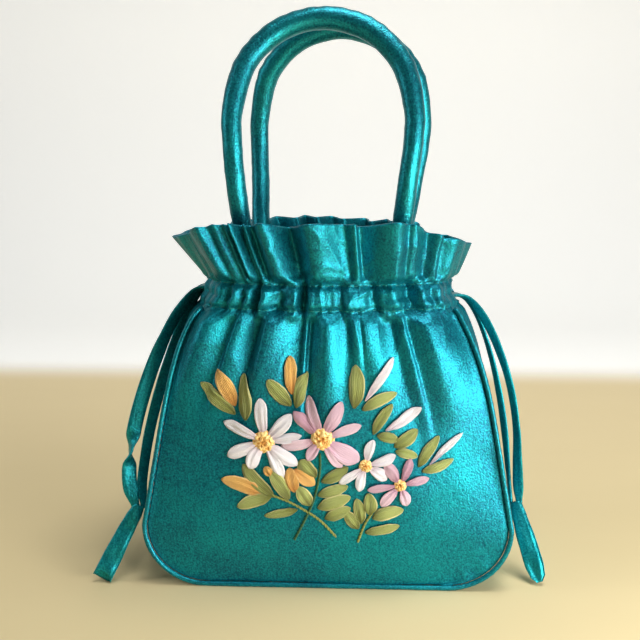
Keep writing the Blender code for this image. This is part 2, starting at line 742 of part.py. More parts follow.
def make_spray(name, stems, leaves):
    """Leaves whose roots lie on each other or on their stems, as one piece."""
    pieces = []
    for i, stem in enumerate(stems):
        path = smooth_path([Vector((x, z, 0)) for x, z in stem], 0.008)
        sheet = bmesh.new()
        rows = []
        for j, spot in enumerate(path):
            ahead = path[min(j + 1, len(path) - 1)] - path[max(j - 1, 0)]
            side = Vector((-ahead.y, ahead.x)).normalized() * STEM_DIAMETER / 2
            left = (spot.x + side.x, spot.y + side.y)
            right = (spot.x - side.x, spot.y - side.y)
            rows.append([sheet.verts.new(on_panel(*left, GAP)),
                         sheet.verts.new(on_panel(spot.x, spot.y, GAP + STEM_DIAMETER)),
                         sheet.verts.new(on_panel(*right, GAP))])
        for low, high in zip(rows, rows[1:]):
            for k in range(3):
                n = (k + 1) % 3
                sheet.faces.new((low[k], low[n], high[n], high[k]))
        sheet.faces.new(rows[0])
        sheet.faces.new(rows[-1])
        pieces.append(add_solid(f"{name}_stem_{i + 1}", sheet))
        for here, there in zip(path, path[1:]):
            gap = STEM_DIAMETER / 2 + GAP
            side = Vector((here.y - there.y, there.x - here.x)).normalized() * gap
            SEWN.append((name, [(here.x + side.x, here.y + side.y), (there.x + side.x, there.y + side.y),
                                (there.x - side.x, there.y - side.y), (here.x - side.x, here.y - side.y)]))
    for i, (x, z, angle, length) in enumerate(leaves):
        head, tail = fit_stitch(name, (x, z), angle, length, LEAF_WIDTH)
        sheet = bmesh.new()
        add_stitch(sheet, (x, z), angle, head, tail, LEAF_WIDTH)
        pieces.append(add_solid(f"{name}_leaf_{i + 1}", sheet))
    return fuse(name, pieces, OLIVE)


# Flowers as centres, and petals as angle and length
WHITE_CENTRE = (-0.0322, 0.0837)
WHITE_PETALS = ((94, 0.0225), (46, 0.0205), (11, 0.0185), (-34, 0.0210), (-62, 0.0205),
                (-118, 0.0170), (-156, 0.0210), (156, 0.0225))
PINK_CENTRE = (-0.0019, 0.0862)
PINK_PETALS = ((107, 0.0220), (64, 0.0215), (19, 0.0205), (-27, 0.0215), (-57, 0.0180),
               (-123, 0.0140), (-168, 0.0200), (140, 0.0195))
SMALL_WHITE_CENTRE = (0.0206, 0.0717)
SMALL_WHITE_PETALS = ((74, 0.0143), (20, 0.0163), (-34, 0.0133), (-104, 0.0140), (-150, 0.0160))
SMALL_PINK_CENTRE = (0.0385, 0.0612)
SMALL_PINK_PETALS = ((69, 0.0150), (124, 0.0140), (13, 0.0154), (-62, 0.0118), (-122, 0.0140), (-172, 0.0170))

# Stems as points, leaves as root, angle and length
LEFT_STEMS = (((-0.0282, 0.0551), (-0.0191, 0.0516), (-0.0100, 0.0465), (-0.0024, 0.0409), (0.0053, 0.0322)),
              ((-0.0031, 0.0740), (-0.0033, 0.0670), (-0.0052, 0.0571), (-0.0091, 0.0460), (-0.0167, 0.0301)))
LEFT_LEAVES = ((-0.0278, 0.0549, 140, 0.0215), (-0.0282, 0.0551, -161, 0.0190), (-0.0191, 0.0516, 122, 0.0190),
               (-0.0140, 0.0488, -168, 0.0185), (-0.0078, 0.0498, 124, 0.0090), (-0.0034, 0.0665, 130, 0.0085),
               (-0.0040, 0.0627, 30, 0.0170), (-0.0056, 0.0555, 18, 0.0175), (-0.0080, 0.0490, 20, 0.0210),
               (-0.0036, 0.0420, 26, 0.0175))
RIGHT_STEMS = (((0.0249, 0.0470), (0.0206, 0.0398), (0.0168, 0.0291)),)
RIGHT_LEAVES = ((0.0195, 0.0372, 127, 0.0140), (0.0209, 0.0404, 104, 0.0150), (0.0240, 0.0455, 84, 0.0125),
                (0.0226, 0.0432, 17, 0.0190), (0.0190, 0.0352, 13, 0.0200))
TOP_LEAVES = {
    "top_left_leaves": ((-0.0440, 0.0950, 140, 0.0270), (-0.0440, 0.0950, 92, 0.0240)),
    "top_middle_leaves": ((-0.0165, 0.1020, 132, 0.0190), (-0.0165, 0.1020, 73, 0.0190)),
    "bud_leaves_1": ((0.0160, 0.1005, 91, 0.0240), (0.0160, 0.1005, 22, 0.0210)),
    "bud_leaves_2": ((0.0250, 0.0885, 60, 0.0185), (0.0250, 0.0885, -14, 0.0110)),
    "bud_leaves_3": ((0.0380, 0.0800, 38, 0.0150), (0.0380, 0.0800, -17, 0.0110)),
    "bud_leaves_4": ((0.0475, 0.0690, 60, 0.0190), (0.0475, 0.0690, 16, 0.0195)),
}
BUDS = ((0.0201, 0.1075, 56, 0.0250), (0.0310, 0.0905, 32, 0.0220), (0.0540, 0.0745, 41, 0.0230))
ORANGE_LEAVES = ((-0.0485, 0.1015, 113, 0.0207), (-0.0177, 0.1080, 95, 0.0205), (-0.0334, 0.0556, 163, 0.0225),
                 (-0.0163, 0.0600, 100, 0.0090), (-0.0138, 0.0662, -46, 0.0095))


def make_embroidery():
    large = (HUB_RADIUS, PETAL_WIDTH, KNOT_RADIUS)
    small = (SMALL_HUB_RADIUS, SMALL_PETAL_WIDTH, SMALL_KNOT_RADIUS)
    flowers = {"white_flower": (WHITE_CENTRE, WHITE_PETALS, large, WHITE),
               "pink_flower": (PINK_CENTRE, PINK_PETALS, large, PINK),
               "small_white_flower": (SMALL_WHITE_CENTRE, SMALL_WHITE_PETALS, small, WHITE),
               "small_pink_flower": (SMALL_PINK_CENTRE, SMALL_PINK_PETALS, small, PINK)}
    for name, (centre, petals, (hub, width, knot), colour) in flowers.items():
        make_flower(name, centre, hub, width, petals, colour)
        make_knot(f"{name}_knot", centre, knot)
    make_spray("left_spray", LEFT_STEMS, LEFT_LEAVES)
    make_spray("right_spray", RIGHT_STEMS, RIGHT_LEAVES)
    for name, leaves in TOP_LEAVES.items():
        make_spray(name, (), leaves)
    for i, (x, z, angle, length) in enumerate(BUDS):
        make_ribbon(f"bud_{i + 1}", (x, z), angle, length, BUD_WIDTH, WHITE)
    for i, (x, z, angle, length) in enumerate(ORANGE_LEAVES):
        make_ribbon(f"orange_leaf_{i + 1}", (x, z), angle, length, ORANGE_WIDTH, ORANGE)


def main():
    clear_scene()
    make_panel("front_panel", -1)
    make_panel("back_panel", 1)
    make_gusset("gusset")
    make_lining("lining")
    make_piping("front_piping", -1)
    make_piping("back_piping", 1)
    make_handle("front_handle", -1)
    make_handle("back_handle", 1, BACK_HANDLE_SWAY)
    make_drawstring("left_drawstring", -1, LEFT_RING_LEVEL, LEFT_FRONT_STRAND, LEFT_BACK_STRAND)
    make_drawstring("right_drawstring", 1, RIGHT_RING_LEVEL, RIGHT_FRONT_STRAND, RIGHT_BACK_STRAND)
    make_tab("left_tab", LEFT_FRONT_STRAND, LEFT_BACK_STRAND, LEFT_TAB_END)
    make_tab("right_tab", RIGHT_FRONT_STRAND, RIGHT_BACK_STRAND, RIGHT_TAB_END)
    make_embroidery()


main()
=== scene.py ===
# Satin potli bag: gathered casing, ruffled mouth, padded loop handles, flat drawstrings and ribbon flowers.
# Lengths are metres, +Z is up and the embroidered front faces -Y.
import itertools
import random
from math import atan2, copysign, cos, exp, pi, radians, sin, sqrt, tau

import bpy
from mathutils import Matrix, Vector, noise


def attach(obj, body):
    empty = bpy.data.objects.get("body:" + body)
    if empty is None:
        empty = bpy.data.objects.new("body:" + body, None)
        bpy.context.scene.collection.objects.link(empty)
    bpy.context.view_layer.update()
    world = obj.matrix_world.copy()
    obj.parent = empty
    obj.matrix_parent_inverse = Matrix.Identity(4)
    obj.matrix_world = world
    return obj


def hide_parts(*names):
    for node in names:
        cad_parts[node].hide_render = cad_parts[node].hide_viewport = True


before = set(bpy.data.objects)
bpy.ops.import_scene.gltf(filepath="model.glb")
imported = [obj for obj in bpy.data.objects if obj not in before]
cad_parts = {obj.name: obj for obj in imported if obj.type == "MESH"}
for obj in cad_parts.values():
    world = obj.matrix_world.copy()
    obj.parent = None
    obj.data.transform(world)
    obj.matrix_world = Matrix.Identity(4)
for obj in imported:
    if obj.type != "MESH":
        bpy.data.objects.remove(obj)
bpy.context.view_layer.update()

print("frame loaded")


# Shared small tools

def clamp(value, low=0.0, high=1.0):
    return max(low, min(high, value))


def mix(a, b, share):
    return a + (b - a) * share


def smooth(value):
    value = clamp(value)
    return value * value * (3 - 2 * value)


def bell(distance, width):
    return exp(-(distance / width) ** 2)


def bent(value, power):
    return copysign(abs(value) ** power, value)


def ripple(x, y, z=0.0, scale=1.0):
    return noise.noise(Vector((x * scale, y * scale, z * scale)))


def crease(x, y, z, scale):
    # sharp ridges where the noise crosses zero, from 0 to 1
    height = abs(ripple(x, y, z, scale))
    return (1 - height * 2.2) ** 3 if height < 0.45 else 0.0


def alongKeys(keys, x):
    # smooth wave through given ridges and valleys, steepest beside the valleys
    if x <= keys[0][0]:
        return keys[0][1]
    for (a, low), (b, high) in zip(keys, keys[1:]):
        if x <= b:
            t = (x - a) / (b - a)
            t = t ** 0.88 if high > low else 1 - (1 - t) ** 0.88
            return mix(low, high, (1 - cos(pi * t)) / 2)
    return keys[-1][1]


def smoothPath(points, step):
    chain = [2 * points[0] - points[1]] + list(points) + [2 * points[-1] - points[-2]]
    path = [points[0].copy()]
    for i in range(1, len(chain) - 2):
        before, start, end, after = chain[i - 1:i + 3]
        parts = max(1, round((end - start).length / step))
        for j in range(1, parts + 1):
            t = j / parts
            path.append(0.5 * (2 * start + (end - before) * t
                               + (2 * before - 5 * start + 4 * end - after) * t ** 2
                               + (3 * start - before - 3 * end + after) * t ** 3))
    return path


def addObject(name, data):
    item = bpy.data.objects.new(name, data)
    bpy.context.collection.objects.link(item)
    return item


def newPiece(name, verts, faces, finish, slotName, replaced, uvs=None, tones=None, thickness=0, offset=-1):
    # tones is one value a point that a finish can read, thickness gives cloth its two sides
    mesh = bpy.data.meshes.new(name)
    mesh.from_pydata([tuple(v) for v in verts], [], faces)
    mesh.validate()
    if uvs:
        layer = mesh.uv_layers.new(name="lay")
        for loop in mesh.loops:
            layer.data[loop.index].uv = uvs[loop.vertex_index]
    if tones:
        tone = mesh.attributes.new("tone", "FLOAT", "POINT")
        tone.data.foreach_set("value", tones)
    mesh.shade_smooth()
    mesh.materials.append(finish)
    piece = addObject(name, mesh)
    if thickness:
        cloth = piece.modifiers.new("cloth", "SOLIDIFY")
        cloth.thickness = thickness
        cloth.offset = offset
    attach(piece, "root")
    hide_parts(replaced)
    return piece


def newThread(name, radius, smoothness, lines, finish, replaced=None):
    # round threads along lists of points
    curve = bpy.data.curves.new(name, "CURVE")
    curve.dimensions = "3D"
    curve.bevel_depth = radius
    curve.bevel_resolution = smoothness
    curve.use_fill_caps = True
    for places in lines:
        line = curve.splines.new("POLY")
        line.points.add(len(places) - 1)
        for point, place in zip(line.points, places):
            point.co = (*place, 1)
    curve.materials.append(finish)
    piece = addObject(name, curve)
    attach(piece, "root")
    if replaced:
        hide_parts(replaced)


def gridFaces(rows, columns, start=0, closed=False, skip=None):
    faces = []
    for i in range(rows - 1):
        for j in range(columns if closed else columns - 1):
            if skip and skip(i, j):
                continue
            k = (j + 1) % columns
            faces.append((start + i * columns + j, start + i * columns + k,
                          start + (i + 1) * columns + k, start + (i + 1) * columns + j))
    return faces


def closeEnds(verts, faces, around, start, end):
    # a fan at each end of a tube whose rings have this many points
    first, last, base = len(verts), len(verts) + 1, len(verts) - around
    verts += [start, end]
    for i in range(around):
        j = (i + 1) % around
        faces += [(first, i, j), (last, base + j, base + i)]


# Shader wiring

class Wire:
    # wraps a socket so that shader maths reads as plain Python
    def __init__(self, finish, socket):
        self.finish = finish
        self.socket = socket

    def maths(self, operation, a, b):
        return self.finish.add("Math", {"operation": operation}, {0: a, 1: b})

    def __add__(self, other):
        return self.maths("ADD", self, other)

    def __radd__(self, other):
        return self.maths("ADD", other, self)

    def __sub__(self, other):
        return self.maths("SUBTRACT", self, other)

    def __mul__(self, other):
        return self.maths("MULTIPLY", self, other)

    def __rmul__(self, other):
        return self.maths("MULTIPLY", other, self)

    def output(self, name):
        # another output of the same node
        return Wire(self.finish, self.socket.node.outputs[name])


class Finish:
    def __init__(self, name, **fixed):
        self.material = bpy.data.materials.new(name)
        self.material.use_nodes = True
        self.tree = self.material.node_tree
        self.shader = self.tree.nodes["Principled BSDF"]
        for key, value in fixed.items():
            self.shader.inputs[key].default_value = value
        self.place = self.add("TexCoord", out="Object")

    def add(self, kind, settings=None, sockets=None, out=0):
        node = self.tree.nodes.new("ShaderNode" + kind)
        for key, value in (settings or {}).items():
            if key == "stops":
                while len(node.color_ramp.elements) < len(value):
                    node.color_ramp.elements.new(0.5)
                for stop, (where, shade) in zip(node.color_ramp.elements, value):
                    stop.position = where
                    stop.color = (*shade, 1.0)
            else:
                setattr(node, key, value)
        for key, value in (sockets or {}).items():
            if isinstance(value, Wire):
                self.tree.links.new(value.socket, node.inputs[key])
            else:
                node.inputs[key].default_value = value
        return Wire(self, node.outputs[out])

    def stretched(self, scale):
        return self.add("Mapping", None, {"Vector": self.place, "Scale": scale})

    def grain(self, scale, detail=2.0, where=None, roughness=0.5):
        return self.add("TexNoise", None, {"Vector": where or self.place, "Scale": scale,
                                           "Detail": detail, "Roughness": roughness})

    def blend(self, a, b, share):
        return self.add("Mix", {"data_type": "RGBA"}, {0: share, 6: a, 7: b}, out=2)

    def ramp(self, value, low, high):
        # soft step from 0 at low to 1 at high
        return self.add("MapRange", {"interpolation_type": "SMOOTHSTEP"}, {0: value, 1: low, 2: high})

    def feed(self, **links):
        for key, wire in links.items():
            self.tree.links.new(wire.socket, self.shader.inputs[key.replace("_", " ")])

    def bump(self, height, distance, strength=1.0, onto=None):
        sockets = {"Height": height, "Distance": distance, "Strength": strength}
        if onto:
            sockets["Normal"] = onto
        return self.add("Bump", None, sockets)


def shade(r, g, b):
    # colour written as screen values from 0 to 255
    linear = [((c / 255 + 0.055) / 1.055) ** 2.4 if c > 10 else c / 255 / 12.92 for c in (r, g, b)]
    return (*linear, 1.0)


# Camera, where the photo was taken from

view = {"distance": 0.470, "height": 0.218, "down": 9.39, "around": 2.5, "aside": -0.0052, "lens": 47.6}

turn = radians(view["around"])
camera = addObject("camera", bpy.data.cameras.new("camera"))
camera.data.lens = view["lens"]
camera.data.sensor_width = 36
camera.data.clip_start = 0.01
camera.location = (sin(turn) * view["distance"] + view["aside"],
                   -cos(turn) * view["distance"], view["height"])
camera.rotation_euler = (radians(90 - view["down"]), 0, turn)
bpy.context.scene.camera = camera


# Finishes

def satin(name, light, dark, roughness=0.44, metal=0.76):
    # gloss broken up by threads and sparkle, over faint creases
    cloth = Finish(name, **{"Specular IOR Level": 0.45})
    threads = cloth.grain(800, 1.5, cloth.stretched((1.0, 1.0, 0.35)))
    sparkle = cloth.grain(1050, 1.5)
    broad = cloth.grain(26, 3.0)
    creases = cloth.grain(110, 3.0, cloth.stretched((1.0, 1.0, 0.45)), 0.6)
    tint = cloth.add("ValToRGB", {"stops": [(0.30, dark[:3]), (0.70, light[:3])]},
                     {0: broad * 0.50 + threads * 0.22 + (sparkle * 2.8 - 0.9) * 0.26})
    cloth.feed(Base_Color=tint, Roughness=roughness - 0.12 + threads * 0.12 + sparkle * 0.14,
               Metallic=metal - 0.08 + broad * 0.16)
    soft = cloth.bump(creases, 0.0003, 0.6)
    cloth.feed(Normal=cloth.bump(threads * 0.35 + sparkle * 0.65, 0.00042, 0.75, soft))
    return cloth.material


bodySatin = satin("body satin", shade(18, 155, 166), shade(3, 86, 110))
handleSatin = satin("handle satin", shade(24, 156, 164), shade(4, 92, 112), 0.37)
pipingSatin = satin("piping satin", shade(20, 150, 160), shade(5, 94, 112), 0.40, 0.72)
# the same teal satin as the body's, painted lighter: painted light on the straps
strapSatinPaintedLighter = satin("strap satin painted lighter", shade(26, 168, 174), shade(6, 112, 124), 0.38, 0.75)


def liningCloth():
    cloth = Finish("lining cloth")
    threads = {"Vector": cloth.place, "Scale": 900, "Distortion": 1.5}
    warp = cloth.add("TexWave", {"bands_direction": "X"}, threads)
    weft = cloth.add("TexWave", {"bands_direction": "Z"}, threads)
    broad = cloth.grain(45, 3.0)
    cloth.feed(Base_Color=cloth.blend(shade(8, 92, 98), shade(12, 122, 126), broad * 0.8 + warp * weft * 0.2),
               Roughness=0.52 + broad * 0.2,
               Normal=cloth.bump(warp * 0.5 + weft * 0.5, 0.00008, 0.5, cloth.bump(broad, 0.002, 0.4)))
    return cloth.material


def ribbon(name, middle, edge, root, roughness=0.42, ribs=26, edgeGlint=0.0, depth=0.25):
    # ribbon lies across (u) and along (v) its stitch: fine lengthwise ribs, deeper colour at the root, lighter
    # edges that are partly painted highlight, and painted shade along its creases
    strip = Finish(name)
    lay = strip.add("UVMap", {"uv_map": "lay"})
    across = strip.add("SeparateXYZ", None, {0: lay})
    along = across.output(1)
    tone = strip.add("Attribute", {"attribute_name": "tone"}, out="Fac")
    stretched = strip.add("CombineXYZ", None, {0: across * ribs, 1: along * 1.4, 2: tone * 37.0})
    fold = strip.grain(9, 2.0, stretched)
    side = strip.add("Math", {"operation": "ABSOLUTE"}, {0: across * 2.0 - 1.0})
    edgeTintAndHighlight = strip.ramp(side, 0.72, 0.98)
    start = strip.ramp(along, 0.55, 0.0)
    speck = strip.grain(1500, 2.0)
    # lighter colour along both edges: the olive organza's own gold edge, and on every ribbon a painted
    # highlight where the edge catches light; edgeGlint adds painted glints there
    body = strip.blend(middle, edge, edgeTintAndHighlight * (0.70 + edgeGlint) + speck * edgeGlint * 0.8 * edgeTintAndHighlight)
    body = strip.blend(body, root, start * 0.75)
    body = strip.blend(body, root, tone * depth)
    # darker where the fold noise is low, the same noise that the bump below raises: painted shade in the
    # ribbon's lengthwise creases
    creaseShaded = strip.blend(shade(0, 0, 0), body, 0.74 + fold * 0.28 + speck * 0.10)
    strip.feed(Base_Color=creaseShaded, Roughness=roughness - 0.08 + fold * 0.16 - edgeTintAndHighlight * edgeGlint * 0.1)
    rib = strip.add("Math", {"operation": "SINE"}, {0: across * (ribs * 2.4) + fold * 5.0})
    strip.feed(Normal=strip.bump(fold * 0.7 + rib * 0.18 + speck * 0.25, 0.0009, 0.8))
    return strip.material


whiteRibbon = ribbon("white ribbon", shade(253, 250, 253), shade(255, 253, 255),
                     shade(236, 208, 222), 0.5, depth=0.15)
pinkRibbon = ribbon("pink ribbon", shade(246, 216, 228), shade(252, 232, 240),
                    shade(200, 138, 166), 0.5, depth=0.75)
orangeRibbon = ribbon("orange ribbon", shade(250, 196, 108), shade(255, 226, 160),
                      shade(212, 136, 58), 0.48, depth=0.4)
oliveRibbon = ribbon("olive ribbon", shade(184, 194, 112), shade(244, 238, 166),
                     shade(104, 108, 40), 0.42, 22, 0.30, 0.5)


def threadFinish(name, light, dark):
    thread = Finish(name)
    strands = thread.add("TexWave", {"bands_direction": "DIAGONAL"},
                         {"Vector": thread.place, "Scale": 1500, "Distortion": 2.0, "Detail": 1.0})
    patch = thread.grain(600, 2.0)
    thread.feed(Base_Color=thread.blend(dark, light, strands * 0.5 + patch * 0.6),
                Roughness=0.45 + patch * 0.2, Normal=thread.bump(strands, 0.00008, 0.6))
    return thread.material


def rosetteFinish():
    # pale yellow crests over orange-brown folds, the orange-brown painted shade down in the folds
    strip = Finish("yellow ribbon", Roughness=0.5)
    tone = strip.add("Attribute", {"attribute_name": "tone"}, out="Fac")
    patch = strip.grain(420, 3.0)
    stops = [(0.12, shade(176, 104, 34)[:3]), (0.42, shade(226, 164, 76)[:3]),
             (0.80, shade(246, 214, 140)[:3])]
    folds = strip.add("ValToRGB", {"stops": stops}, {0: tone * 0.75 + patch * 0.35})
    strip.feed(Base_Color=folds, Normal=strip.bump(patch, 0.0004, 0.5))
    return strip.material


yellowRibbon = rosetteFinish()
stemGreen = threadFinish("dark stem thread", shade(58, 104, 56), shade(30, 70, 42))
stemOlive = threadFinish("light stem thread", shade(150, 156, 76), shade(104, 112, 48))
tealThread = threadFinish("teal thread", shade(30, 150, 146), shade(10, 110, 112))
print("finishes made")


# The body's form, as functions of the height

body = {"seamLift": 0.0025, "widest": 0.034, "gatherStart": 0.100, "casingLow": 0.151, "casingHigh": 0.165,
        "ruffle": 0.032, "halfWidth": 0.0972, "halfDepth": 0.040, "corner": 0.032, "neckWidth": 0.062,
        "neckDepth": 0.024, "slope": 0.62, "curl": 6, "bulge": 0.009, "neckBulge": 0.018, "bulgeRise": 0.060,
        "bulgePower": 2.2, "flatBase": 0.67, "sideBulge": 0.003, "neckSideBulge": 0.006,
        "flareX": 0.0098, "flareY": 0.003, "flareBulge": 0.004, "flareSide": 0.0022, "tipDip": 0.10,
        "ruffleSway": -0.0052, "cloth": 0.0009}
casingMiddle = (body["casingLow"] + body["casingHigh"]) / 2
ruffleTop = body["casingHigh"] + body["ruffle"]


def neckPull(z):
    t = clamp((z - body["widest"]) / (casingMiddle - body["widest"]))
    return body["slope"] * t + (1 - body["slope"]) * t ** body["curl"]


def cornerRise(z):
    # 0 where the bottom corner starts and 1 at the base's seam
    return clamp((body["widest"] - z) / (body["widest"] - body["seamLift"]))


def ruffleShare(z):
    return clamp((z - body["casingHigh"]) / body["ruffle"])


def seamHalfWidth(z):
    if z < body["widest"]:
        return body["halfWidth"] - body["corner"] * (1 - sqrt(1 - cornerRise(z) ** 2))
    return mix(body["halfWidth"], body["neckWidth"], neckPull(z)) + body["flareX"] * ruffleShare(z)


def seamHalfDepth(z):
    return mix(body["halfDepth"], body["neckDepth"], neckPull(z)) + body["flareY"] * ruffleShare(z)


def frontBulge(z):
    rise = clamp(z / body["bulgeRise"])
    low = body["bulge"] * (1 - (1 - rise) ** 2)
    return mix(low, body["neckBulge"], neckPull(z)) + body["flareBulge"] * ruffleShare(z)


def sideBulge(z):
    return mix(body["sideBulge"], body["neckSideBulge"], neckPull(z)) + body["flareSide"] * ruffleShare(z)


def outward(x, y, z):
    wide = seamHalfWidth(z) + sideBulge(z)
    deep = seamHalfDepth(z) + frontBulge(z)
    return Vector((x / wide ** 2, y / deep ** 2, 0)).normalized()


# Ridges (+1) and valleys (-1) of the gathers, as places across the panel in millimetres.
# Reach is how much farther down than bodyEnd each fold of the body goes.
gathers = {
    "width": {"Ruffle": 74.5, "Casing": 62.0, "Body": 77.4, "Reach": 77.4},
    "ruffleSize": (0.0046, 0.0084), "casingSize": 0.0024, "bodySize": 0.0052, "bodyEnd": 0.080,
    "frontRuffle": [
        (-75, -.5), (-60.5, .75), (-57.5, .2), (-54, .35), (-51, -.1), (-49, .1), (-47, -.4), (-44.5, .6),
        (-41, -.5), (-38.2, .1), (-35.8, -.5), (-27, .95), (-15.5, -1.1), (-3.5, .9), (15, -.4), (20, .2),
        (23.5, -.75), (40, 1), (48, .2), (49.8, .35), (61, -.55), (65, .1), (68, -.2), (75, .2)],
    "frontCasing": [
        (-62, -.3), (-56, .6), (-51, -.6), (-47, .8), (-43, -.2), (-40, .5), (-35, -1.2), (-32, .9),
        (-24, -.6), (-15.8, .8), (-11.8, -1.1), (-7.6, .9), (3, .2), (7, -.3), (11.5, .6), (16, .3),
        (24, -.7), (28, .5), (33, .9), (43, -1), (47.8, .8), (53.5, .1), (57, .5), (62, -.3)],
    "frontBody": [
        (-77, .1), (-66, 1.1), (-54, -.4), (-50.5, .4), (-39.5, -1), (-32.5, .75), (-14, -.7), (-11.4, -.3),
        (-9.2, -.8), (0, .85), (11.5, -.2), (15.5, .35), (19, .1), (20.5, .3), (37, -.8), (43, .05),
        (45.2, -.3), (55, .9), (77, -.3)],
    "frontReach": [
        (-77, 0), (-66, 10), (-52, 14), (-39, 22), (-25, 8), (-14, 12), (-6, 34), (3, 30), (12, -14),
        (18, -18), (28, 6), (38, 20), (48, 36), (58, 26), (77, 0)],
    "stitchRows": (0.1518, 0.1646), "pinch": 0.0017, "pucker": 0.00028, "puckers": 13.5, "tuft": 0.0034,
}
# heights of the cloth's own unevenness
softness = {"broad": 0.0011, "fine": 0.0003, "crumple": 0.0009, "ruffle": 0.0006, "casing": 0.0008,
            "seam": 0.00035, "leftCorner": 0.0005, "rightCorner": 0.0011}
# how far the ruffle's edge hangs down, behind in the second row
drop = {"valley": 0.0012, "wander": 0.0014, "leftEnd": 0.0050, "rightEnd": 0.0080,
        "backShare": 0.35, "backSides": 0.0024}


def randomGathers(seed, width, count):
    rng = random.Random(seed)
    keys = []
    x = -width
    side = 1
    while x < width:
        keys.append((x, side * rng.uniform(0.45, 1.0)))
        x += width / count * rng.uniform(0.55, 1.45)
        side = -side
    keys.append((width, 0.3))
    return keys


for rngSeed, part, count in ((5, "Ruffle", 8), (6, "Casing", 11), (7, "Body", 8)):
    gathers["back" + part] = randomGathers(rngSeed, gathers["width"][part], count)
gathers["backReach"] = [(-77, 0), (-50, 18), (-24, 4), (5, 16), (32, 6), (52, 20), (77, 0)]


def gatherWave(part, side, u):
    return alongKeys(gathers[("front" if side < 0 else "back") + part], u * gathers["width"][part])


def foldHeight(side, u, z):
    above = smooth((z - body["casingHigh"] + 0.0005) / 0.006)
    below = smooth((body["casingLow"] + 0.0005 - z) / 0.007)
    height = 0
    if above > 0:
        height += above * mix(*gathers["ruffleSize"], ruffleShare(z)) * gatherWave("Ruffle", side, u)
    if above < 1 and below < 1:
        height += (1 - above - below) * gathers["casingSize"] * gatherWave("Casing", side, u)
    if below > 0:
        end = gathers["bodyEnd"] + 0.016 - gatherWave("Reach", side, u) / 1000
        fade = smooth((z - end) / (0.142 - end)) ** 1.1
        # the folds lean outwards on their way down, apart from those at the seams
        inner = 1 if abs(u) < 0.9 else (1 - abs(u)) * 10
        spread = u * (1 - 0.10 * inner * smooth((0.142 - z) / 0.06))
        height += below * gathers["bodySize"] * fade * gatherWave("Body", side, spread)
    return height


def puckerHeight(side, u, z):
    # the stitch rows pull the cloth in, and the casing puffs out between them
    height = 0
    for i, row in enumerate(gathers["stitchRows"]):
        wave = sin(tau * gathers["puckers"] * u + 2.2 * ripple(u * 9, i * 7 + side * 3, 1.5))
        row += 0.0011 * ripple(u * 6.5, i * 5.0, side)
        height -= gathers["pinch"] * bell(z - row, 0.0018) * (1 + 0.35 * wave)
        height += gathers["pucker"] * bell(z - row, 0.0050) * wave
    puff = clamp(1 - ((z - casingMiddle) / (body["casingHigh"] - casingMiddle)) ** 2)
    return height + gathers["tuft"] * puff ** 0.7 * (0.22 + 0.5 * gatherWave("Casing", side, u))


def clothNoise(x, y, z, edge):
    # broad softness, crumples near the gathers and ripples beside the seams
    gathered = smooth((z - 0.095) / 0.06)
    loose = smooth((z - 0.166) / 0.01)
    casing = smooth((z - 0.146) / 0.004) * smooth((0.171 - z) / 0.004)
    height = softness["broad"] * ripple(x, y * 0.4, z, 22) + softness["fine"] * ripple(x + 5, y * 0.4, z, 75)
    height += softness["crumple"] * gathered * (crease(x, y * 0.5, z * 0.55, 55) - 0.3)
    height += softness["ruffle"] * loose * (crease(x + 3, y, z * 0.7, 90) - 0.3)
    height += softness["casing"] * casing * (crease(x * 1.3 + 7, y, z, 58) - 0.35)
    height += softness["seam"] * smooth((0.125 - z) / 0.03) * bell(edge, 0.008) * ripple(x, y, z, 130)
    # the cloth is eased in round the bottom corners, more on the right
    corner = smooth((abs(x) - 0.045) / 0.03) * smooth((0.030 - z) / 0.016)
    around = atan2(z - body["widest"], abs(x) - body["halfWidth"] + body["corner"])
    ease = softness["rightCorner" if x > 0 else "leftCorner"]
    height += ease * corner * bell(edge - 0.003, 0.011) * sin(around * 15 + 1.5)
    return height * smooth(edge / 0.004 + 0.1)


def panelBase(side, u, z):
    x = seamHalfWidth(z) * u
    y = seamHalfDepth(z) + frontBulge(z) * (1 - abs(u) ** body["bulgePower"])
    return Vector((x, side * y, z))


def ruffleDrop(side, u):
    # valleys and corners of the ruffle hang lower, and the back one lower than the front
    low = drop["valley"] * (1 - gatherWave("Ruffle", side, u)) + drop["wander"] * ripple(u * 3.1, side, 2.0)
    low *= 1 if side < 0 else drop["backShare"]
    low += drop["rightEnd" if u > 0 else "leftEnd"] * smooth((abs(u) - 0.66) / 0.34)
    return low + (drop["backSides"] * (1 - bell(u + 0.12, 0.32)) if side > 0 else 0)


def edgeReach(side, u, z):
    return foldHeight(side, u, z) + puckerHeight(side, u, z)


def panelPoint(side, u, z):
    place = panelBase(side, u, z)
    edge = seamHalfWidth(z) * (1 - abs(u))
    reach = edgeReach(side, u, z) + clothNoise(place.x, place.y, z, edge)
    share = ruffleShare(z)
    place += outward(place.x, place.y, z) * reach
    if share:
        place.z -= share * ruffleDrop(side, u)
        place.x += share * body["ruffleSway"]
    return place


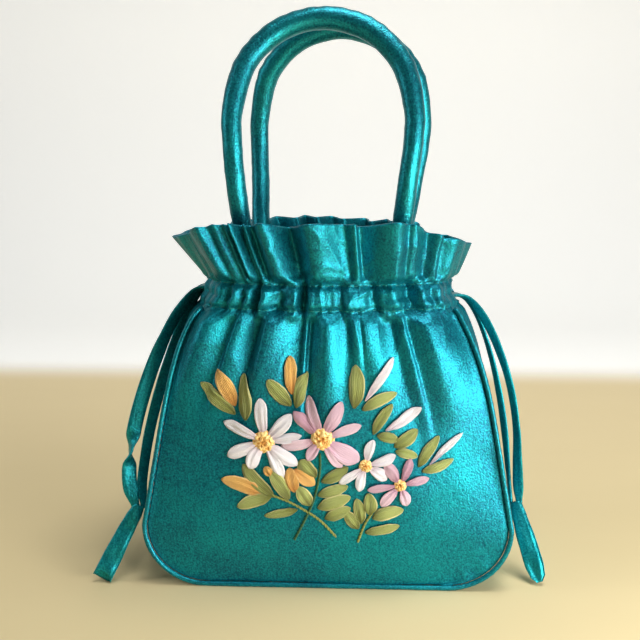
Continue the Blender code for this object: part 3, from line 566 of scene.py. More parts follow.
def gussetPoint(side, w, z):
    rise = cornerRise(z)
    roundShare = clamp((z - body["seamLift"]) / (body["widest"] - body["seamLift"]))
    base = 1 - clamp((abs(w) - body["flatBase"]) / (1 - body["flatBase"]))
    stand = mix(base, 1 - w ** 2, roundShare)
    lean = Vector((sqrt(1 - rise ** 2), 0, -rise))
    bulge = mix(body["seamLift"], sideBulge(z), roundShare) * stand
    y = w * (seamHalfDepth(z) - 0.0006)
    place = Vector((seamHalfWidth(z), y, z)) + lean * bulge
    reach = mix(edgeReach(-1, side, z), edgeReach(1, side, z), (w + 1) / 2)
    gathered = clamp((z - body["gatherStart"]) / 0.05) ** 2
    own = gathered * 0.0014 * cos(pi * (4 - 1.2 * ruffleShare(z)) * (w + 0.12 * side))
    soft = 0.0009 * ripple(place.y + side, z * 0.6, 3.0, 38) * smooth(z / 0.03)
    reach += (1 - w ** 2) * (own + soft)
    place += outward(place.x, place.y, z) * reach
    share = ruffleShare(z)
    place.z -= share * mix(ruffleDrop(-1, side), ruffleDrop(1, side), (w + 1) / 2)
    place.z -= share * body["ruffle"] * body["tipDip"] * (1 - w ** 2)
    place.x *= side
    place.x += share * body["ruffleSway"]
    return place


def levels(corner, sides, rise, casing, ruffle):
    # heights of the rows of points, with so many steps in each zone
    turns = [pi / 2 * i / corner for i in range(corner)]
    rows = [body["widest"] - (body["widest"] - body["seamLift"]) * cos(a) for a in turns]
    rows += [mix(body["widest"], body["gatherStart"], i / sides) for i in range(sides)]
    rows += [mix(body["gatherStart"], body["casingLow"], i / rise) for i in range(rise)]
    rows += [mix(body["casingLow"], body["casingHigh"], i / casing) for i in range(casing)]
    return rows + [mix(body["casingHigh"], ruffleTop, i / ruffle) for i in range(ruffle + 1)]


# Panels and gusset

def makePanel(name, side, columns, rows, replaced):
    verts = [panelPoint(side, 2 * j / columns - 1, z) for z in rows for j in range(columns + 1)]
    faces = gridFaces(len(rows), columns + 1)
    if side > 0:
        faces = [face[::-1] for face in faces]
    return newPiece(name, verts, faces, bodySatin, "satin", replaced, thickness=body["cloth"])


panelFront = makePanel("panelFront", -1, 250, levels(10, 44, 44, 24, 34), "front_panel")
panelBack = makePanel("panelBack", 1, 170, levels(8, 26, 30, 18, 26), "back_panel")


gussetForm = {"across": 46, "baseSteps": 40, "slitWidth": 0.30, "slitSlack": 0.04, "slitHeight": 0.0068}


def makeGusset():
    # down the left side, across the base and up the right side
    rows = levels(10, 26, 34, 20, 26)[::-1]
    across, baseSteps = gussetForm["across"], gussetForm["baseSteps"]
    columns = [2 * j / across - 1 for j in range(across + 1)]
    verts = [gussetPoint(-1, w, z) for z in rows for w in columns]
    for i in range(1, baseSteps):
        for w in columns:
            place = gussetPoint(1, w, body["seamLift"])
            place.x *= mix(-1, 1, i / baseSteps)
            verts.append(place)
    verts += [gussetPoint(1, w, z) for z in rows[::-1] for w in columns]
    total = len(rows) * 2 + baseSteps - 1
    low, high = body["casingLow"] + 0.0012, body["casingHigh"] - 0.0012

    def inSlit(i, j):
        k = i if i < len(rows) else total - 2 - i
        if k >= len(rows) - 1:
            return False
        z = (rows[k] + rows[k + 1]) / 2
        w = (columns[j] + columns[j + 1]) / 2
        lens = sqrt(max(0, 1 - ((z - casingMiddle) / gussetForm["slitHeight"]) ** 2))
        return low < z < high and abs(w) < gussetForm["slitWidth"] * lens + gussetForm["slitSlack"]
    faces = gridFaces(total, len(columns), skip=inSlit)
    return newPiece("gussetStrip", verts, faces, bodySatin, "satin", "gusset", thickness=body["cloth"])


gussetStrip = makeGusset()
print("body made")


# Lining, seen through the mouth

lining = {"inset": 0.0030, "casingInset": 0.0082, "floor": 0.0022, "top": 0.1688, "cloth": 0.0005,
          "folds": 26, "foldSize": 0.0010, "sag": 0.0009, "around": 200, "boxWide": 0.42, "boxDeep": 0.30}


def makeLining():
    rows = [lining["floor"], 0.004, 0.008, 0.016, 0.026] + [mix(0.034, 0.150, i / 26) for i in range(27)]
    rows += [mix(0.151, lining["top"], i / 12) for i in range(13)]
    around = lining["around"]
    verts = []
    for z in rows:
        inset = mix(lining["inset"], lining["casingInset"], smooth((z - 0.078) / 0.035))
        gathered = smooth((z - 0.10) / 0.05)
        level = max(z, 0.006)
        tuck = max(0, 1 - (z - lining["floor"]) / 0.0058)  # it rounds off towards its floor
        wide = seamHalfWidth(level) - inset - 0.0006 - 0.012 * tuck
        deep = seamHalfDepth(level) - inset - 0.010 * tuck
        for i in range(around):
            turn = tau * i / around
            c, s = cos(turn), sin(turn)
            # a rounded box: flat on the short sides, bowed on the long ones
            x = wide * bent(c, lining["boxWide"])
            long = abs(s) ** lining["boxDeep"]
            u = clamp(abs(x) / wide)
            y = copysign(long, s) * deep
            y += copysign(frontBulge(level) * (1 - u ** body["bulgePower"]) * long, s) * 0.97
            x += copysign(sideBulge(level) * (1 - clamp(long) ** 2), c)
            wave = sin(lining["folds"] * turn + 2.5 * ripple(c, s, z * 6, 1.6))
            fold = gathered * lining["foldSize"] * wave - lining["sag"] * (0.5 + ripple(x, y, z, 40))
            out = outward(x, y, z)
            verts.append(Vector((x, y, z)) + out * fold)
    faces = gridFaces(len(rows), around, closed=True)
    middle = len(verts)
    verts.append(Vector((0, 0, lining["floor"])))
    faces += [(middle, (i + 1) % around, i) for i in range(around)]
    return newPiece("liningBag", verts, faces, liningCloth(), "lining", "lining",
                    thickness=lining["cloth"], offset=1)


liningBag = makeLining()

# each sheet with the size that it was cut to
cuts = [(panelFront, (0.195, 0.215), 0.036), (panelBack, (0.195, 0.215), 0.036),
        (gussetStrip, (0.090, 0.560), 0.046), (liningBag, (0.440, 0.190), 0.080)]
for piece, flat, area in cuts:
    neighbour = "front_panel" if piece == gussetStrip else "gusset"


# Tubes: piping, handles, straps

def frames(path, facing=None, lean=None, turns=None):
    # a steady frame along a path. facing is where its width looks at first, lean where it looks
    # all along, and turns twist it by so many degrees at each height below zero.
    rows = []
    side = Vector(facing) if facing else None
    for i, place in enumerate(path):
        along = (path[min(i + 1, len(path) - 1)] - path[max(i - 1, 0)]).normalized()
        if lean:
            side = Vector(lean)
        elif side is None:
            side = along.orthogonal().normalized()
        side = (side - along * side.dot(along)).normalized()
        flat = side
        if turns:
            angle = radians(alongKeys(turns, -place.z))
            flat = side * cos(angle) + along.cross(side) * sin(angle)
        rows.append((place, flat, along.cross(flat)))
    return rows


def makeTube(name, path, section, around, finish, slotName, replaced, **frameWays):
    # section gives the offset across and up for a turn at a distance along the path
    rows = frames(path, **frameWays)
    verts = []
    uvs = []
    travelled = 0
    last = path[0]
    for place, side, up in rows:
        travelled += (place - last).length
        last = place
        for i in range(around):
            a, b = section(tau * i / around, travelled, place)
            verts.append(place + side * a + up * b)
            uvs.append((i / around, travelled * 20))
    faces = [face[::-1] for face in gridFaces(len(rows), around, closed=True)]
    closeEnds(verts, faces, around, path[0], path[-1])
    uvs += [(0, 0), (0, travelled * 20)]
    return newPiece(name, verts, faces, finish, slotName, replaced, uvs=uvs)


piping = {"radius": 0.00135, "lift": 0.0016, "step": 0.0025}


def makePiping(name, side, replaced):
    rows = [z for z in levels(14, 50, 40, 2, 1) if z <= body["casingLow"] + 0.001]

    def seamLine(end):
        for z in rows:
            rise = cornerRise(z)
            lean = Vector((end * sqrt(1 - rise ** 2), side * 0.8, -rise)).normalized()
            yield panelPoint(side, end, z) + lean * piping["lift"]
    left, right = list(seamLine(-1)), list(seamLine(1))
    bottom = [left[0].lerp(right[0], i / 60) for i in range(1, 60)]
    path = smoothPath(left[::-1] + bottom + right, piping["step"])

    def section(turn, travelled, place):
        wave = 1 + 0.06 * sin(travelled * 1500 + 3 * turn) + 0.10 * ripple(travelled * 90, side, 0)
        radius = piping["radius"] * wave
        return radius * cos(turn), radius * sin(turn)
    return makeTube(name, path, section, 14, pipingSatin, "piping", replaced)


makePiping("pipingFront", -1, "front_piping")
makePiping("pipingBack", 1, "back_piping")


# sways are how far each handle stands aside just above its feet and at the arch
handle = {"diameter": 0.0115, "footDiameter": 0.0074, "footX": 0.0395, "footY": 0.01705, "legX": 0.0462,
          "footTop": body["casingHigh"] + 0.0036, "shoulder": 0.254, "top": 0.3003, "leanY": 0.0290,
          "topY": 0.0150, "taper": 0.018, "legGirth": 0.885, "archGirth": 1.03, "step": 0.0016,
          "frontSway": (-0.0042, -0.0025), "backSway": (0.0003, 0.0055),
          "bunch": 0.00018, "soft": 0.00030, "crease": 0.00022, "seam": 0.00045}


def handlePath(side, sway):
    footTop, shoulder = handle["footTop"], handle["shoulder"]
    x, y = handle["footX"], handle["footY"]
    leg = [(x, y, body["casingLow"] + 0.0003), (x, y, casingMiddle), (x, y, footTop)]
    for level, out, lean in ((0.22, 0.25, 0.35), (0.50, 0.65, 0.85), (0.80, 1.0, 1.0)):
        leg.append((mix(x, handle["legX"], out), mix(y, handle["leanY"], lean),
                    mix(footTop, shoulder, level)))
    for angle in (0, 30, 60):
        share = sin(radians(angle))
        leg.append((handle["legX"] * cos(radians(angle)),
                    mix(mix(handle["leanY"], handle["topY"], 0.15), handle["topY"], share),
                    shoulder + (handle["top"] - shoulder) * share))
    right = [Vector((a, side * b, c)) for a, b, c in leg]
    top = Vector((0, side * handle["topY"], handle["top"]))
    left = [Vector((-place.x, place.y, place.z)) for place in right]
    route = left + [top] + right[::-1]
    for place in route:
        place.x += mix(sway[0] * smooth((place.z - footTop) / 0.03), sway[1],
                       smooth((place.z - footTop) / (shoulder - footTop)))
    return smoothPath(route, handle["step"])


def makeHandle(name, side, sway, replaced):
    def section(turn, travelled, place):
        full = smooth((place.z - handle["footTop"]) / handle["taper"])
        radius = mix(handle["footDiameter"], handle["diameter"], full) / 2
        radius *= mix(handle["legGirth"], handle["archGirth"], smooth((place.z - 0.235) / 0.045))
        # the sleeve is cut a little long, so it bunches on the inside of the arch
        inner = max(0, -cos(turn)) if place.z > 0.27 else 0
        c, s = cos(turn), sin(turn)
        uneven = handle["bunch"] * inner * sin(travelled * 850 + 3 * ripple(travelled * 60, side, 1))
        uneven += handle["soft"] * ripple(c, s + side * 4, travelled * 38)
        uneven += handle["crease"] * (crease(c * 0.5, s * 0.5, travelled * 75 + side, 1.0) - 0.3)
        radius += full * uneven - handle["seam"] * bell(sin((turn - 2.6) / 2), 0.05)
        return radius * c, radius * s * mix(0.8, 1, full)
    return makeTube(name, handlePath(side, sway), section, 44, handleSatin, "handle_satin", replaced,
                    facing=(1, 0, 0))


handleFront = makeHandle("handleFront", -1, handle["frontSway"], "front_handle")
handleBack = makeHandle("handleBack", 1, handle["backSway"], "back_handle")
print("handles made")

# Each drawstring is one flat strap: a ring inside the casing and two strands that hang from its slit
strap = {"thick": 0.0019, "ringWidth": 0.0046, "step": 0.0016}
strands = {
    "leftFront": [
        (-.0650, -.0026, .1610), (-.0745, -.0030, .1572), (-.0845, -.0060, .1448), (-.0930, -.0105, .1280),
        (-.1002, -.0150, .1090), (-.1060, -.0195, .0885), (-.1092, -.0235, .0700), (-.1094, -.0275, .0540),
        (-.1056, -.0305, .0400)],
    "leftBack": [
        (-.0650, .0026, .1610), (-.0740, .0022, .1562), (-.0820, -.0002, .1410), (-.0893, -.0045, .1210),
        (-.0955, -.0090, .1005), (-.1004, -.0140, .0795), (-.1030, -.0195, .0610), (-.1034, -.0240, .0500),
        (-.1018, -.0282, .0385)],
    "rightFront": [
        (.0650, -.0026, .1555), (.0754, -.0030, .1540), (.0846, -.0050, .1445), (.0932, -.0080, .1275),
        (.1003, -.0105, .1060), (.1044, -.0115, .0830), (.1060, -.0105, .0620), (.1070, -.0100, .0480),
        (.1078, -.0108, .0375)],
    "rightBack": [
        (.0650, .0026, .1555), (.0750, .0028, .1535), (.0835, .0032, .1415), (.0912, .0024, .1205),
        (.0968, .0008, .0970), (.1000, -.0014, .0760), (.1018, -.0036, .0580), (.1029, -.0056, .0460),
        (.1040, -.0086, .0365)],
}
# where each tab ends, the way its face looks, half its width along it, and whether its end is open
tabs = {
    "left": ((-.1232, -.0395, .0024), (0.15, -0.85, 0.50), True,
             [(0, .0030), (.06, .0036), (.16, .0041), (.40, .0047), (.75, .0054), (1, .0054)]),
    "right": ((.1163, -.0330, .0018), (-0.35, -0.75, 0.55), False,
              [(0, .0030), (.06, .0037), (.20, .0042), (.50, .0051), (.78, .0052), (.92, .0042), (1, .0018)]),
}
tabForm = {"rings": 44, "around": 40, "overlap": 0.0015, "arch": 0.0016, "fold": 0.0007, "seam": 0.0006,
           "curl": 0.0012, "openEnd": 0.0026, "shutEnd": 0.0010, "lipBow": 0.0010, "lipCut": 0.0046}


def strapSection(width, thick, seed, total=None):
    # folded flat strap: two soft edges and a shallow groove where the folds meet
    def section(turn, travelled, place):
        c, s = cos(turn), sin(turn)
        across, high = bent(c, 0.75), bent(s, 0.85)
        groove = 1 - 0.35 * bell(across - 0.15, 0.18) * (1 if s > 0 else 0.3)
        wave = 1 + 0.14 * ripple(travelled * 95, seed, across)
        pinch = mix(0.55, 1, smooth((total - travelled) / 0.011)) if total else 1
        return (width / 2 * across * pinch * (1 + 0.07 * ripple(travelled * 60, seed, 4)),
                thick / 2 * high * groove * wave)
    return section


def strandLength(path):
    return sum((b - a).length for a, b in zip(path, path[1:]))


def makeStrand(name, key, width, lean, turns, replaced):
    path = smoothPath([Vector(p) for p in strands[key]], strap["step"])
    section = strapSection(width, strap["thick"], len(name), strandLength(path))
    piece = makeTube(name, path, section, 24, strapSatinPaintedLighter, "strap_satin", replaced, lean=lean, turns=turns)
    return piece, path


# how far the ring's middle lies inside the casing's seams, on the long faces and at the sides
channel = {"face": 0.00545, "side": 0.0054, "exitX": 0.0650, "exitY": 0.0026, "step": 0.003}


def channelPoint(side, u, level):
    place = panelBase(side, u, level)
    return place - outward(place.x, place.y, level) * channel["face"]


def makeRing(name, side, level, replaced):
    shares = (-0.9, -0.6, -0.3, 0, 0.3, 0.6, 0.9)
    front = [channelPoint(-1, u * side, level) for u in shares]
    back = [channelPoint(1, -u * side, level) for u in shares]
    far = seamHalfWidth(level) + sideBulge(level) - channel["side"]
    start, end = (Vector((side * channel["exitX"], y, level)) for y in (-channel["exitY"], channel["exitY"]))
    route = [start] + front[::-1] + [Vector((-side * far, 0, level))] + back[::-1] + [end]
    section = strapSection(strap["ringWidth"], strap["thick"], 2)
    makeTube(name, smoothPath(route, channel["step"]), section, 16, strapSatinPaintedLighter, "strap_satin", replaced,
             facing=(0, 0, 1))


def makeTab(name, key, replaced):
    # a folded strip over the two strap ends, pinched where they go in
    front = [Vector(p) for p in strands[key + "Front"]]
    back = [Vector(p) for p in strands[key + "Back"]]
    run = ((front[-1] - front[-2]) + (back[-1] - back[-2])).normalized()
    start = (front[-1] + back[-1]) / 2 - run * tabForm["overlap"]
    end, face, isOpen, girth = tabs[key]
    end, face = Vector(end), Vector(face)
    along = (end - start).normalized()
    face = (face - along * face.dot(along)).normalized()
    flat = along.cross(face)
    across = (front[-1] - back[-1]).normalized()
    across = (across - along * across.dot(along)).normalized()
    if flat.dot(across) < 0:
        flat = -flat
    length = (end - start).length
    rings = [(i / tabForm["rings"], 1.0) for i in range(tabForm["rings"] + 1)]
    if isOpen:
        rings += [(1.0, 0.84), (0.97, 0.74), (0.86, 0.66), (0.70, 0.60)]  # down its inside
    around = tabForm["around"]
    verts = []
    for share, inner in rings:
        half = alongKeys(girth, share)
        last = tabForm["openEnd" if isOpen else "shutEnd"]
        thick = alongKeys([(0, .0019), (.08, .0021), (.3, .0015), (.7, .0014), (1, last)], share)
        wide = across.lerp(flat, smooth(share * 5)).normalized()
        up = along.cross(wide).normalized()
        if up.dot(face) < 0:
            up, wide = -up, -wide
        middle = start + along * length * share + up * tabForm["arch"] * sin(pi * share)
        for i in range(around):
            turn = tau * i / around
            c, s = cos(turn), sin(turn)
            a, b = bent(c, 0.75), bent(s, 0.8)
            fold = tabForm["fold"] * ripple(a * 1.4, share * 4.5, len(name)) * smooth(share * 3)
            seam = tabForm["seam"] * bell(a - 0.82, 0.10) * smooth(share * 4) * (1 if isOpen else 1.4)
            curl = tabForm["curl"] * a * a * smooth((share - 0.5) * 2)
            point = middle + wide * (a * half * mix(1, inner, 0.35))
            point += up * (b * thick * inner + fold + curl - seam * (s > 0))
            # the upper lip of the open end is cut back a little
            lip = tabForm["lipBow"] * (1 - a * a) - tabForm["lipCut"] * max(0, s)
            point += along * lip * smooth((share - 0.75) * 4) * isOpen
            point.z = max(point.z, 0.0001)
            verts.append(point)
    faces = [face[::-1] for face in gridFaces(len(rings), around, closed=True)]
    closeEnds(verts, faces, around, start, sum(verts[-around:], Vector()) / around)
    return newPiece(name, verts, faces, strapSatinPaintedLighter, "strap_satin", replaced)


# the way each strap's width faces, its width, and its turns in degrees at heights below zero
hang = {
    "leftFront": ((-0.8, -0.5, 0), 0.0082, [(-.16, -30), (-.135, -20), (-.115, 5), (-.082, 12),
                                            (-.070, 96), (-.060, 184), (-.048, 195), (-.040, 205)]),
    "leftBack": ((-0.75, -0.6, 0), 0.0062, [(-.16, 0), (-.10, 15), (-.04, -10)]),
    "rightFront": ((0.70, -0.7, 0), 0.0064, [(-.16, 0), (-.09, 20), (-.04, -15)]),
    "rightBack": ((0.2, -0.95, 0), 0.0056, [(-.16, 0), (-.08, -20), (-.036, 10)]),
}
for key, side, level in (("left", -1, 0.1610), ("right", 1, 0.1555)):
    tab = makeTab(key + "Tab", key, key + "_tab")
    makeRing(key + "Ring", side, level, key + "_drawstring")
    for part in ("Front", "Back"):
        lean, width, turns = hang[key + part]
        strand, path = makeStrand(key + part + "Strand", key + part, width, lean, turns, key + "_drawstring")
        tuple(path[0])
        strandLength(path)
        [tuple(p) for p in path]
print("drawstrings made")


# Rows of running stitch that hold the casing

stitch = {"length": 0.0019, "gap": 0.0011, "thread": 0.00022, "rise": 0.00032, "sink": 0.00012}


def makeStitchRows(name, side):
    lines = []
    for row in gathers["stitchRows"]:
        half = seamHalfWidth(row)
        x = -half + 0.001
        while x < half - 0.003:
            line = []
            for k in range(5):
                place = panelPoint(side, (x + stitch["length"] * k / 4) / half, row)
                rise = stitch["rise"] * sin(pi * k / 4) - stitch["sink"]
                line.append(place + outward(place.x, place.y, row) * rise)
            lines.append(line)
            x += stitch["length"] + stitch["gap"] * (1 + 0.25 * ripple(x, row, 3, 300))
    newThread(name, stitch["thread"], 1, lines, tealThread)


makeStitchRows("stitchesFront", -1)
makeStitchRows("stitchesBack", 1)
print("stitches made")


# Ribbon embroidery

def onPanel(x, z, height):
    step = 0.0006
    place = panelPoint(-1, x / seamHalfWidth(z), z)
    across = panelPoint(-1, (x + step) / seamHalfWidth(z), z) - place
    rise = panelPoint(-1, x / seamHalfWidth(z + step), z + step) - place
    return place + across.cross(rise).normalized() * height


ribbonForm = {"rows": 19, "columns": 13, "crown": 0.0010, "cloth": 0.00020, "lowest": 0.00025, "ragged": 0.13}
# share of the width along a stitch, from its root
petalGirth = ((0, .14), (.10, .38), (.28, .76), (.5, .98), (.66, 1), (.82, .86), (.93, .54), (1, .12))
leafGirth = ((0, .12), (.08, .46), (.24, .88), (.48, 1), (.7, .92), (.88, .60), (.96, .34), (1, .08))
# finish, slot, girth, and the heights that stitches start from in turn
ribbonKinds = {
    "leaf": (oliveRibbon, "olive_ribbon", leafGirth, (0.0005, 0.0007, 0.0009)),
    "orange": (orangeRibbon, "orange_ribbon", leafGirth, (0.0009,)),
    "bud": (whiteRibbon, "white_ribbon", petalGirth, (0.0010,)),
    "white": (whiteRibbon, "white_ribbon", petalGirth, (0.0010, 0.0013)),
    "pink": (pinkRibbon, "pink_ribbon", petalGirth, (0.0010, 0.0013)),
}
seeds = itertools.count(2)


def makeStitches(name, kind, replaced, stitches):
    # ribbon stitches in one mesh, each given in millimetres
    finish, slotName, girth, lifts = ribbonKinds[kind]
    rows, columns = ribbonForm["rows"], ribbonForm["columns"]
    verts, faces, uvs, tones = [], [], [], []
    for k, (x, z, angle, length, width) in enumerate(stitches):
        seed = next(seeds)
        rng = random.Random(seed)
        start = len(verts)
        c, s = cos(radians(angle)), sin(radians(angle))
        bend = rng.uniform(-0.06, 0.06)
        tone = rng.random()
        twist = rng.uniform(-0.35, 0.35)
        for i in range(rows):
            t = i / (rows - 1)
            share = 0.0
            for (p, low), (q, high) in zip(girth, girth[1:]):
                if t <= q + 1e-9:
                    share = mix(low, high, (t - p) / (q - p))
                    break
            half = width / 2 * share
            reach = length * t
            sway = length * bend * sin(pi * t)
            arch = sin(pi * clamp(t * 0.96 + 0.03)) ** 0.8
            for j in range(columns):
                v = 2 * j / (columns - 1) - 1
                edge = copysign(3.0, v) * (abs(v) > 0.01)
                ragged = 1 + ribbonForm["ragged"] * abs(v) * ripple(t * 2.6, edge, seed * 1.9)
                aside = sway + half * v * ragged
                fold = 0.00030 * cos(v * 8 + seed) * (1 - t) + 0.00024 * cos(v * 5 + seed * 2)
                fold += 0.00040 * ripple(v * 2.4, t * 1.8, seed * 3.1)
                crown = ribbonForm["crown"] * (1 - 0.30 * v * v - 0.20 * v ** 6)
                height = lifts[k % len(lifts)] + arch * (crown + fold) + 0.0005 * twist * v * t
                verts.append(onPanel((x + c * reach - s * aside) / 1000, (z + s * reach + c * aside) / 1000,
                                     max(height, ribbonForm["lowest"])))
                uvs.append(((v + 1) / 2, t))
                tones.append(tone)
        faces += [face[::-1] for face in gridFaces(rows, columns, start)]
    return newPiece(name, verts, faces, finish, slotName, replaced, uvs, tones, ribbonForm["cloth"])


# kind, node, middle, radius of the centre, and each petal's angle, length and width
flowers = {
    "whiteFlower": ("white", "white_flower", (-32.2, 83.7), 5.6, [
        (94, 23.4, 6.9), (46, 20.8, 7.2), (11, 19.8, 5.3), (-34, 21.1, 7.6), (-62, 21.6, 6.7),
        (-118, 16.9, 7.6), (-156, 21.7, 7.2), (156, 23.6, 6.2)]),
    "pinkFlower": ("pink", "pink_flower", (-1.9, 86.2), 5.6, [
        (107, 23.1, 7.2), (64, 21.9, 7.2), (19, 21.2, 5.7), (-32, 22.5, 10.5), (-57, 18.4, 7.2),
        (-123, 14.2, 5.7), (-168, 22.0, 5.7), (137, 20.3, 6.2)]),
    "smallWhiteFlower": ("white", "small_white_flower", (20.6, 71.7), 3.2, [
        (74, 14.3, 5.3), (20, 16.3, 5.7), (-34, 13.3, 6.2), (-104, 14.0, 5.3), (-145, 16.8, 4.8)]),
    "smallPinkFlower": ("pink", "small_pink_flower", (38.5, 61.2), 3.0, [
        (69, 15.1, 4.8), (124, 14.0, 6.7), (13, 15.4, 4.8), (-72, 11.5, 5.7), (-131, 14.9, 5.7),
        (-172, 17.2, 4.3)]),
}
# kind, node, and each stitch's root (x and z), angle, length and width
sprays = {
    "leftSprayLeaves": ("leaf", "left_spray", [
        (-27.2, 54.1, 135, 23.6, 8.6), (-28.7, 54.1, -161, 19.2, 7.2), (-19.1, 53.1, 124, 18.2, 7.6),
        (-14.8, 47.5, -167, 18.1, 4.8), (-5.2, 65.2, 134, 12.5, 9.1), (-8.1, 50.0, 123, 12.1, 7.6),
        (-2.4, 62.7, 30, 16.0, 6.7), (-4.3, 55.6, 18, 16.6, 6.2), (-4.3, 48.5, 21, 18.4, 7.6),
        (-0.5, 42.4, 26, 14.9, 7.2)]),
    "rightSprayLeaves": ("leaf", "right_spray", [
        (17.2, 36.8, 125, 12.5, 6.7), (18.7, 39.8, 101, 14.5, 6.2), (23.0, 44.9, 94, 12.2, 7.2),
        (24.4, 42.9, 17, 17.0, 7.2), (20.6, 34.7, 13, 18.6, 5.7)]),
    "topLeftLeaves": ("leaf", "top_left_leaves", [(-47.8, 97.0, 138, 24.3, 7.2), (-41.6, 94.6, 96, 24.1, 8.1)]),
    "topMiddleLeaves": ("leaf", "top_middle_leaves", [
        (-18.1, 102.9, 131, 18.2, 7.6), (-15.3, 101.9, 74, 19.3, 6.7)]),
    "budLeavesHigh": ("leaf", "bud_leaves_1", [(14.4, 101.9, 88, 22.9, 8.1), (18.7, 101.0, 26, 19.8, 6.2)]),
    "budLeavesMiddle": ("leaf", "bud_leaves_2", [(24.4, 88.1, 58, 18.7, 5.7), (26.3, 87.6, -13, 11.3, 5.7)]),
    "budLeavesInner": ("leaf", "bud_leaves_3", [(35.4, 81.2, 36, 15.3, 7.2), (35.9, 79.2, -15, 11.9, 5.3)]),
    "budLeavesLow": ("leaf", "bud_leaves_4", [(47.8, 70.7, 55, 19.4, 5.9), (49.7, 68.2, 20, 17.8, 5.0)]),
    "orangeTopLeft": ("orange", "orange_leaf_1", [(-47.8, 101.5, 113, 20.7, 7.2)]),
    "orangeTopMiddle": ("orange", "orange_leaf_2", [(-17.7, 108.8, 95, 20.0, 7.2)]),
    "orangeLowLeft": ("orange", "orange_leaf_3", [(-33.4, 55.6, 163, 22.9, 8.1), (-28.7, 65.2, 124, 6.0, 4.8)]),
    "orangeMiddle": ("orange", "orange_leaf_4", [(-16.2, 57.1, 102, 13.4, 7.6)]),
    "orangeInner": ("orange", "orange_leaf_5", [(-16.7, 69.2, -36, 13.6, 7.6)]),
    "budHigh": ("bud", "bud_1", [(20.1, 105.9, 56, 26.3, 5.0)]),
    "budMiddle": ("bud", "bud_2", [(30.6, 90.1, 32, 22.2, 6.2)]),
    "budLow": ("bud", "bud_3", [(53.6, 71.7, 43, 23.7, 3.6)]),
}
for name, (kind, node, stitches) in sprays.items():
    makeStitches(name, kind, node, stitches)


# rings and points of each, its height and spiral arms by size, and where it starts above the cloth
rosette = {"rings": 22, "around": 72, "big": (0.0024, 5), "small": (0.0019, 3),
           "lift": 0.0009, "cloth": 0.0003}


def makeRosette(name, centre, radius, replaced):
    # a narrow ribbon crumpled round and round: spiral folds on a low dome
    rings, around, seed = rosette["rings"], rosette["around"], len(name)
    height, arms = rosette["big" if radius > 0.004 else "small"]
    verts, uvs, tones = [], [], []
    for i in range(rings):
        r = i / (rings - 1)
        for j in range(around):
            turn = tau * j / around
            c, s = cos(turn), sin(turn)
            warp = ripple(c * r * 2.6, s * r * 2.6, seed * 1.3)
            swirl = sin(arms * turn + 8.5 * r + 5.5 * warp)
            lump = ripple(c * r * 4.2, s * r * 4.2, seed * 1.7)
            fine = 1 - min(1, abs(ripple(c * r * 9, s * r * 9, seed * 2.9)) * 3)
            fold = abs(swirl) ** 0.8 * (0.40 + 0.40 * smooth(r * 3)) + 0.22 * fine
            edge = 1 + 0.11 * ripple(c * 2.2, s * 2.2, seed) + 0.04 * bent(swirl, 2)
            rise = (1 - r ** 2.6) * (0.46 + 0.50 * fold + 0.42 * lump) + 0.10
            spot = (centre[0] + radius * r * edge * c, centre[1] + radius * r * edge * s)
            verts.append(onPanel(*spot, rosette["lift"] + height * clamp(rise, 0.05, 1.4)))
            uvs.append((j / around, r))
            # tone is painted shade: it follows the height of the folds and lumps, low in the hollows, and it
            # also falls towards the middle
            tones.append(clamp((fold * 0.9 + lump * 0.7 + 0.1) * mix(0.35, 1, smooth(r * 1.7))))
    faces = [face[::-1] for face in gridFaces(rings, around, closed=True)]
    return newPiece(name, verts, faces, yellowRibbon, "yellow_thread", replaced, uvs, tones,
                    rosette["cloth"])


rootGap = 1.8  # how far from a flower's middle its petals start, in millimetres
for name, (kind, node, (x, z), knot, petals) in flowers.items():
    stitches = []
    for angle, length, width in petals:
        a = radians(angle)
        stitches.append((x + rootGap * cos(a), z + rootGap * sin(a), angle, length - rootGap, width))
    makeStitches(name, kind, node, stitches)
    makeRosette(name + "Centre", (x / 1000, z / 1000), knot / 1000 * 1.08, node + "_knot")

stem = {"thick": 0.0013, "thread": 0.30, "apart": 0.26, "twist": 0.75, "lift": 0.0006, "step": 0.0005}
stems = {
    "leftStemLong": ("left_spray", stemGreen, [
        (-3.1, 78.2), (-3.1, 69.2), (-5.2, 57.1), (-9.1, 46.0), (-16.7, 30.1)]),
    "leftStemLow": ("left_spray", stemOlive, [
        (-28.2, 55.1), (-19.1, 51.6), (-10, 46.5), (-2.4, 40.9), (5.3, 32.2)]),
    "rightStem": ("right_spray", stemOlive, [(24.9, 47.0), (20.6, 39.8), (16.8, 29.1)]),
}


def makeStem(name, points, finish, replaced):
    # two threads twisted round each other, couched on the satin
    path = smoothPath([Vector((x / 1000, z / 1000, 0)) for x, z in points], stem["step"])
    apart = stem["thick"] * stem["apart"]
    lines = [[], []]
    for i, spot in enumerate(path):
        ahead = path[min(i + 1, len(path) - 1)] - path[max(i - 1, 0)]
        side = Vector((-ahead.y, ahead.x, 0)).normalized()
        for number, line in enumerate(lines):
            turn = i * stem["twist"] + pi * number
            flat = spot + side * cos(turn) * apart
            line.append(onPanel(flat.x, flat.y, stem["lift"] + sin(turn) * apart))
    newThread(name, stem["thick"] * stem["thread"], 2, lines, finish, replaced)


for name, (node, finish, points) in stems.items():
    makeStem(name, points, finish, node)
print("embroidery made")


# Floor, backdrop and light

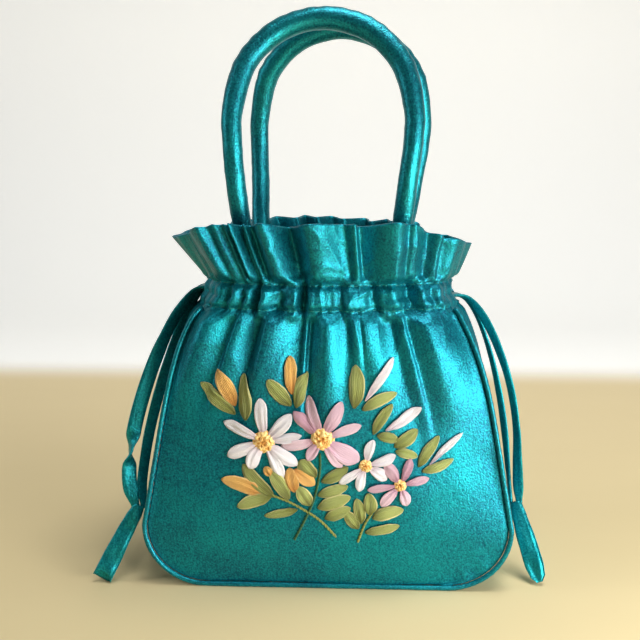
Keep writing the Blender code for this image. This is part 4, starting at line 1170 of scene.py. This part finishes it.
def stageFinish():
    # pale floor up to a paler backdrop. The lens and mirrored rays also see both in light of their own.
    paint = Finish("pale floor", **{"Roughness": 0.75, "Emission Strength": 1.0})
    depth = paint.add("SeparateXYZ", None, {0: paint.place}, out="Y")
    back = paint.ramp(depth, 0.42, 0.54)
    far = paint.ramp(depth, -0.10, 0.46)
    patch = paint.grain(6, 4.0, paint.stretched((0.25, 1.0, 1.0)))
    floorTint = paint.blend(shade(206, 187, 140), shade(216, 198, 152), patch)
    seen = rays = paint.add("LightPath", out="Is Camera Ray")
    for kind in ("Is Glossy Ray", "Is Transmission Ray"):
        seen = paint.add("Math", {"operation": "MAXIMUM"}, {0: seen, 1: rays.output(kind)})
    glow = paint.blend(paint.blend(shade(0, 0, 0), shade(132, 121, 98), far), shade(176, 177, 174), back)
    paint.feed(Base_Color=paint.blend(floorTint, shade(240, 238, 233), back),
               Emission_Color=paint.blend(shade(0, 0, 0), glow, seen))
    return paint.material


def makeStage():
    # one sweep: the floor rises softly into the backdrop
    verts = []
    rows = [(-2.0, 0)] + [(y / 10, 0) for y in range(-6, 9)]
    for i in range(1, 13):
        turn = i * pi / 24
        rows.append((0.8 + 0.5 * sin(turn), 0.5 * (1 - cos(turn))))
    rows += [(1.3, 0.9), (1.3, 2.5)]
    for y, z in rows:
        verts += [Vector((x, y, z)) for x in (-2.5, -1, 0, 1, 2.5)]
    mesh = bpy.data.meshes.new("stage")
    mesh.from_pydata([tuple(v) for v in verts], [], gridFaces(len(rows), 5))
    mesh.shade_smooth()
    mesh.materials.append(stageFinish())
    addObject("stage", mesh)


makeStage()


def makeLight(name, place, aim, size, watts):
    lamp = bpy.data.lights.new(name, "AREA")
    lamp.shape = "RECTANGLE"
    lamp.size, lamp.size_y = size
    lamp.energy = watts
    item = addObject(name, lamp)
    item.location = place
    item.rotation_euler = (Vector(aim) - Vector(place)).to_track_quat("-Z", "Y").to_euler()


# where each stands, what it looks at, its size and its watts
lights = {
    "windowRight": ((0.90, -0.76, 0.36), (0, 0, 0.12), (0.80, 0.80), 5.6),
    "lowRight": ((0.68, -0.48, 0.04), (0.07, 0, 0.03), (0.50, 0.12), 5.2),
    "glowOnFloor": ((0.36, -0.40, 0.20), (0.34, -0.39, 0), (0.34, 0.26), 3.2),
    "windowLeft": ((-1.10, -0.25, 0.60), (0, 0, 0.12), (0.20, 0.80), 2.6),
    "overhead": ((0.20, -0.12, 1.15), (0, 0, 0.10), (0.60, 0.40), 9.2),
}
for name, (place, aim, size, watts) in lights.items():
    makeLight(name, place, aim, size, watts)

world = bpy.data.worlds.new("room")
bpy.context.scene.world = world
world.use_nodes = True
nodes, links = world.node_tree.nodes, world.node_tree.links
room = nodes["Background"]
room.inputs["Color"].default_value = shade(235, 238, 240)
room.inputs["Strength"].default_value = 0.065
# the lens sees pale walls all round, which light nothing
walls = nodes.new("ShaderNodeBackground")
walls.inputs["Color"].default_value = shade(236, 234, 228)
walls.inputs["Strength"].default_value = 0.9
either = nodes.new("ShaderNodeMixShader")
links.new(nodes.new("ShaderNodeLightPath").outputs["Is Camera Ray"], either.inputs[0])
links.new(room.outputs[0], either.inputs[1])
links.new(walls.outputs[0], either.inputs[2])
links.new(either.outputs[0], nodes["World Output"].inputs["Surface"])
bpy.context.scene.view_settings.view_transform = "Standard"
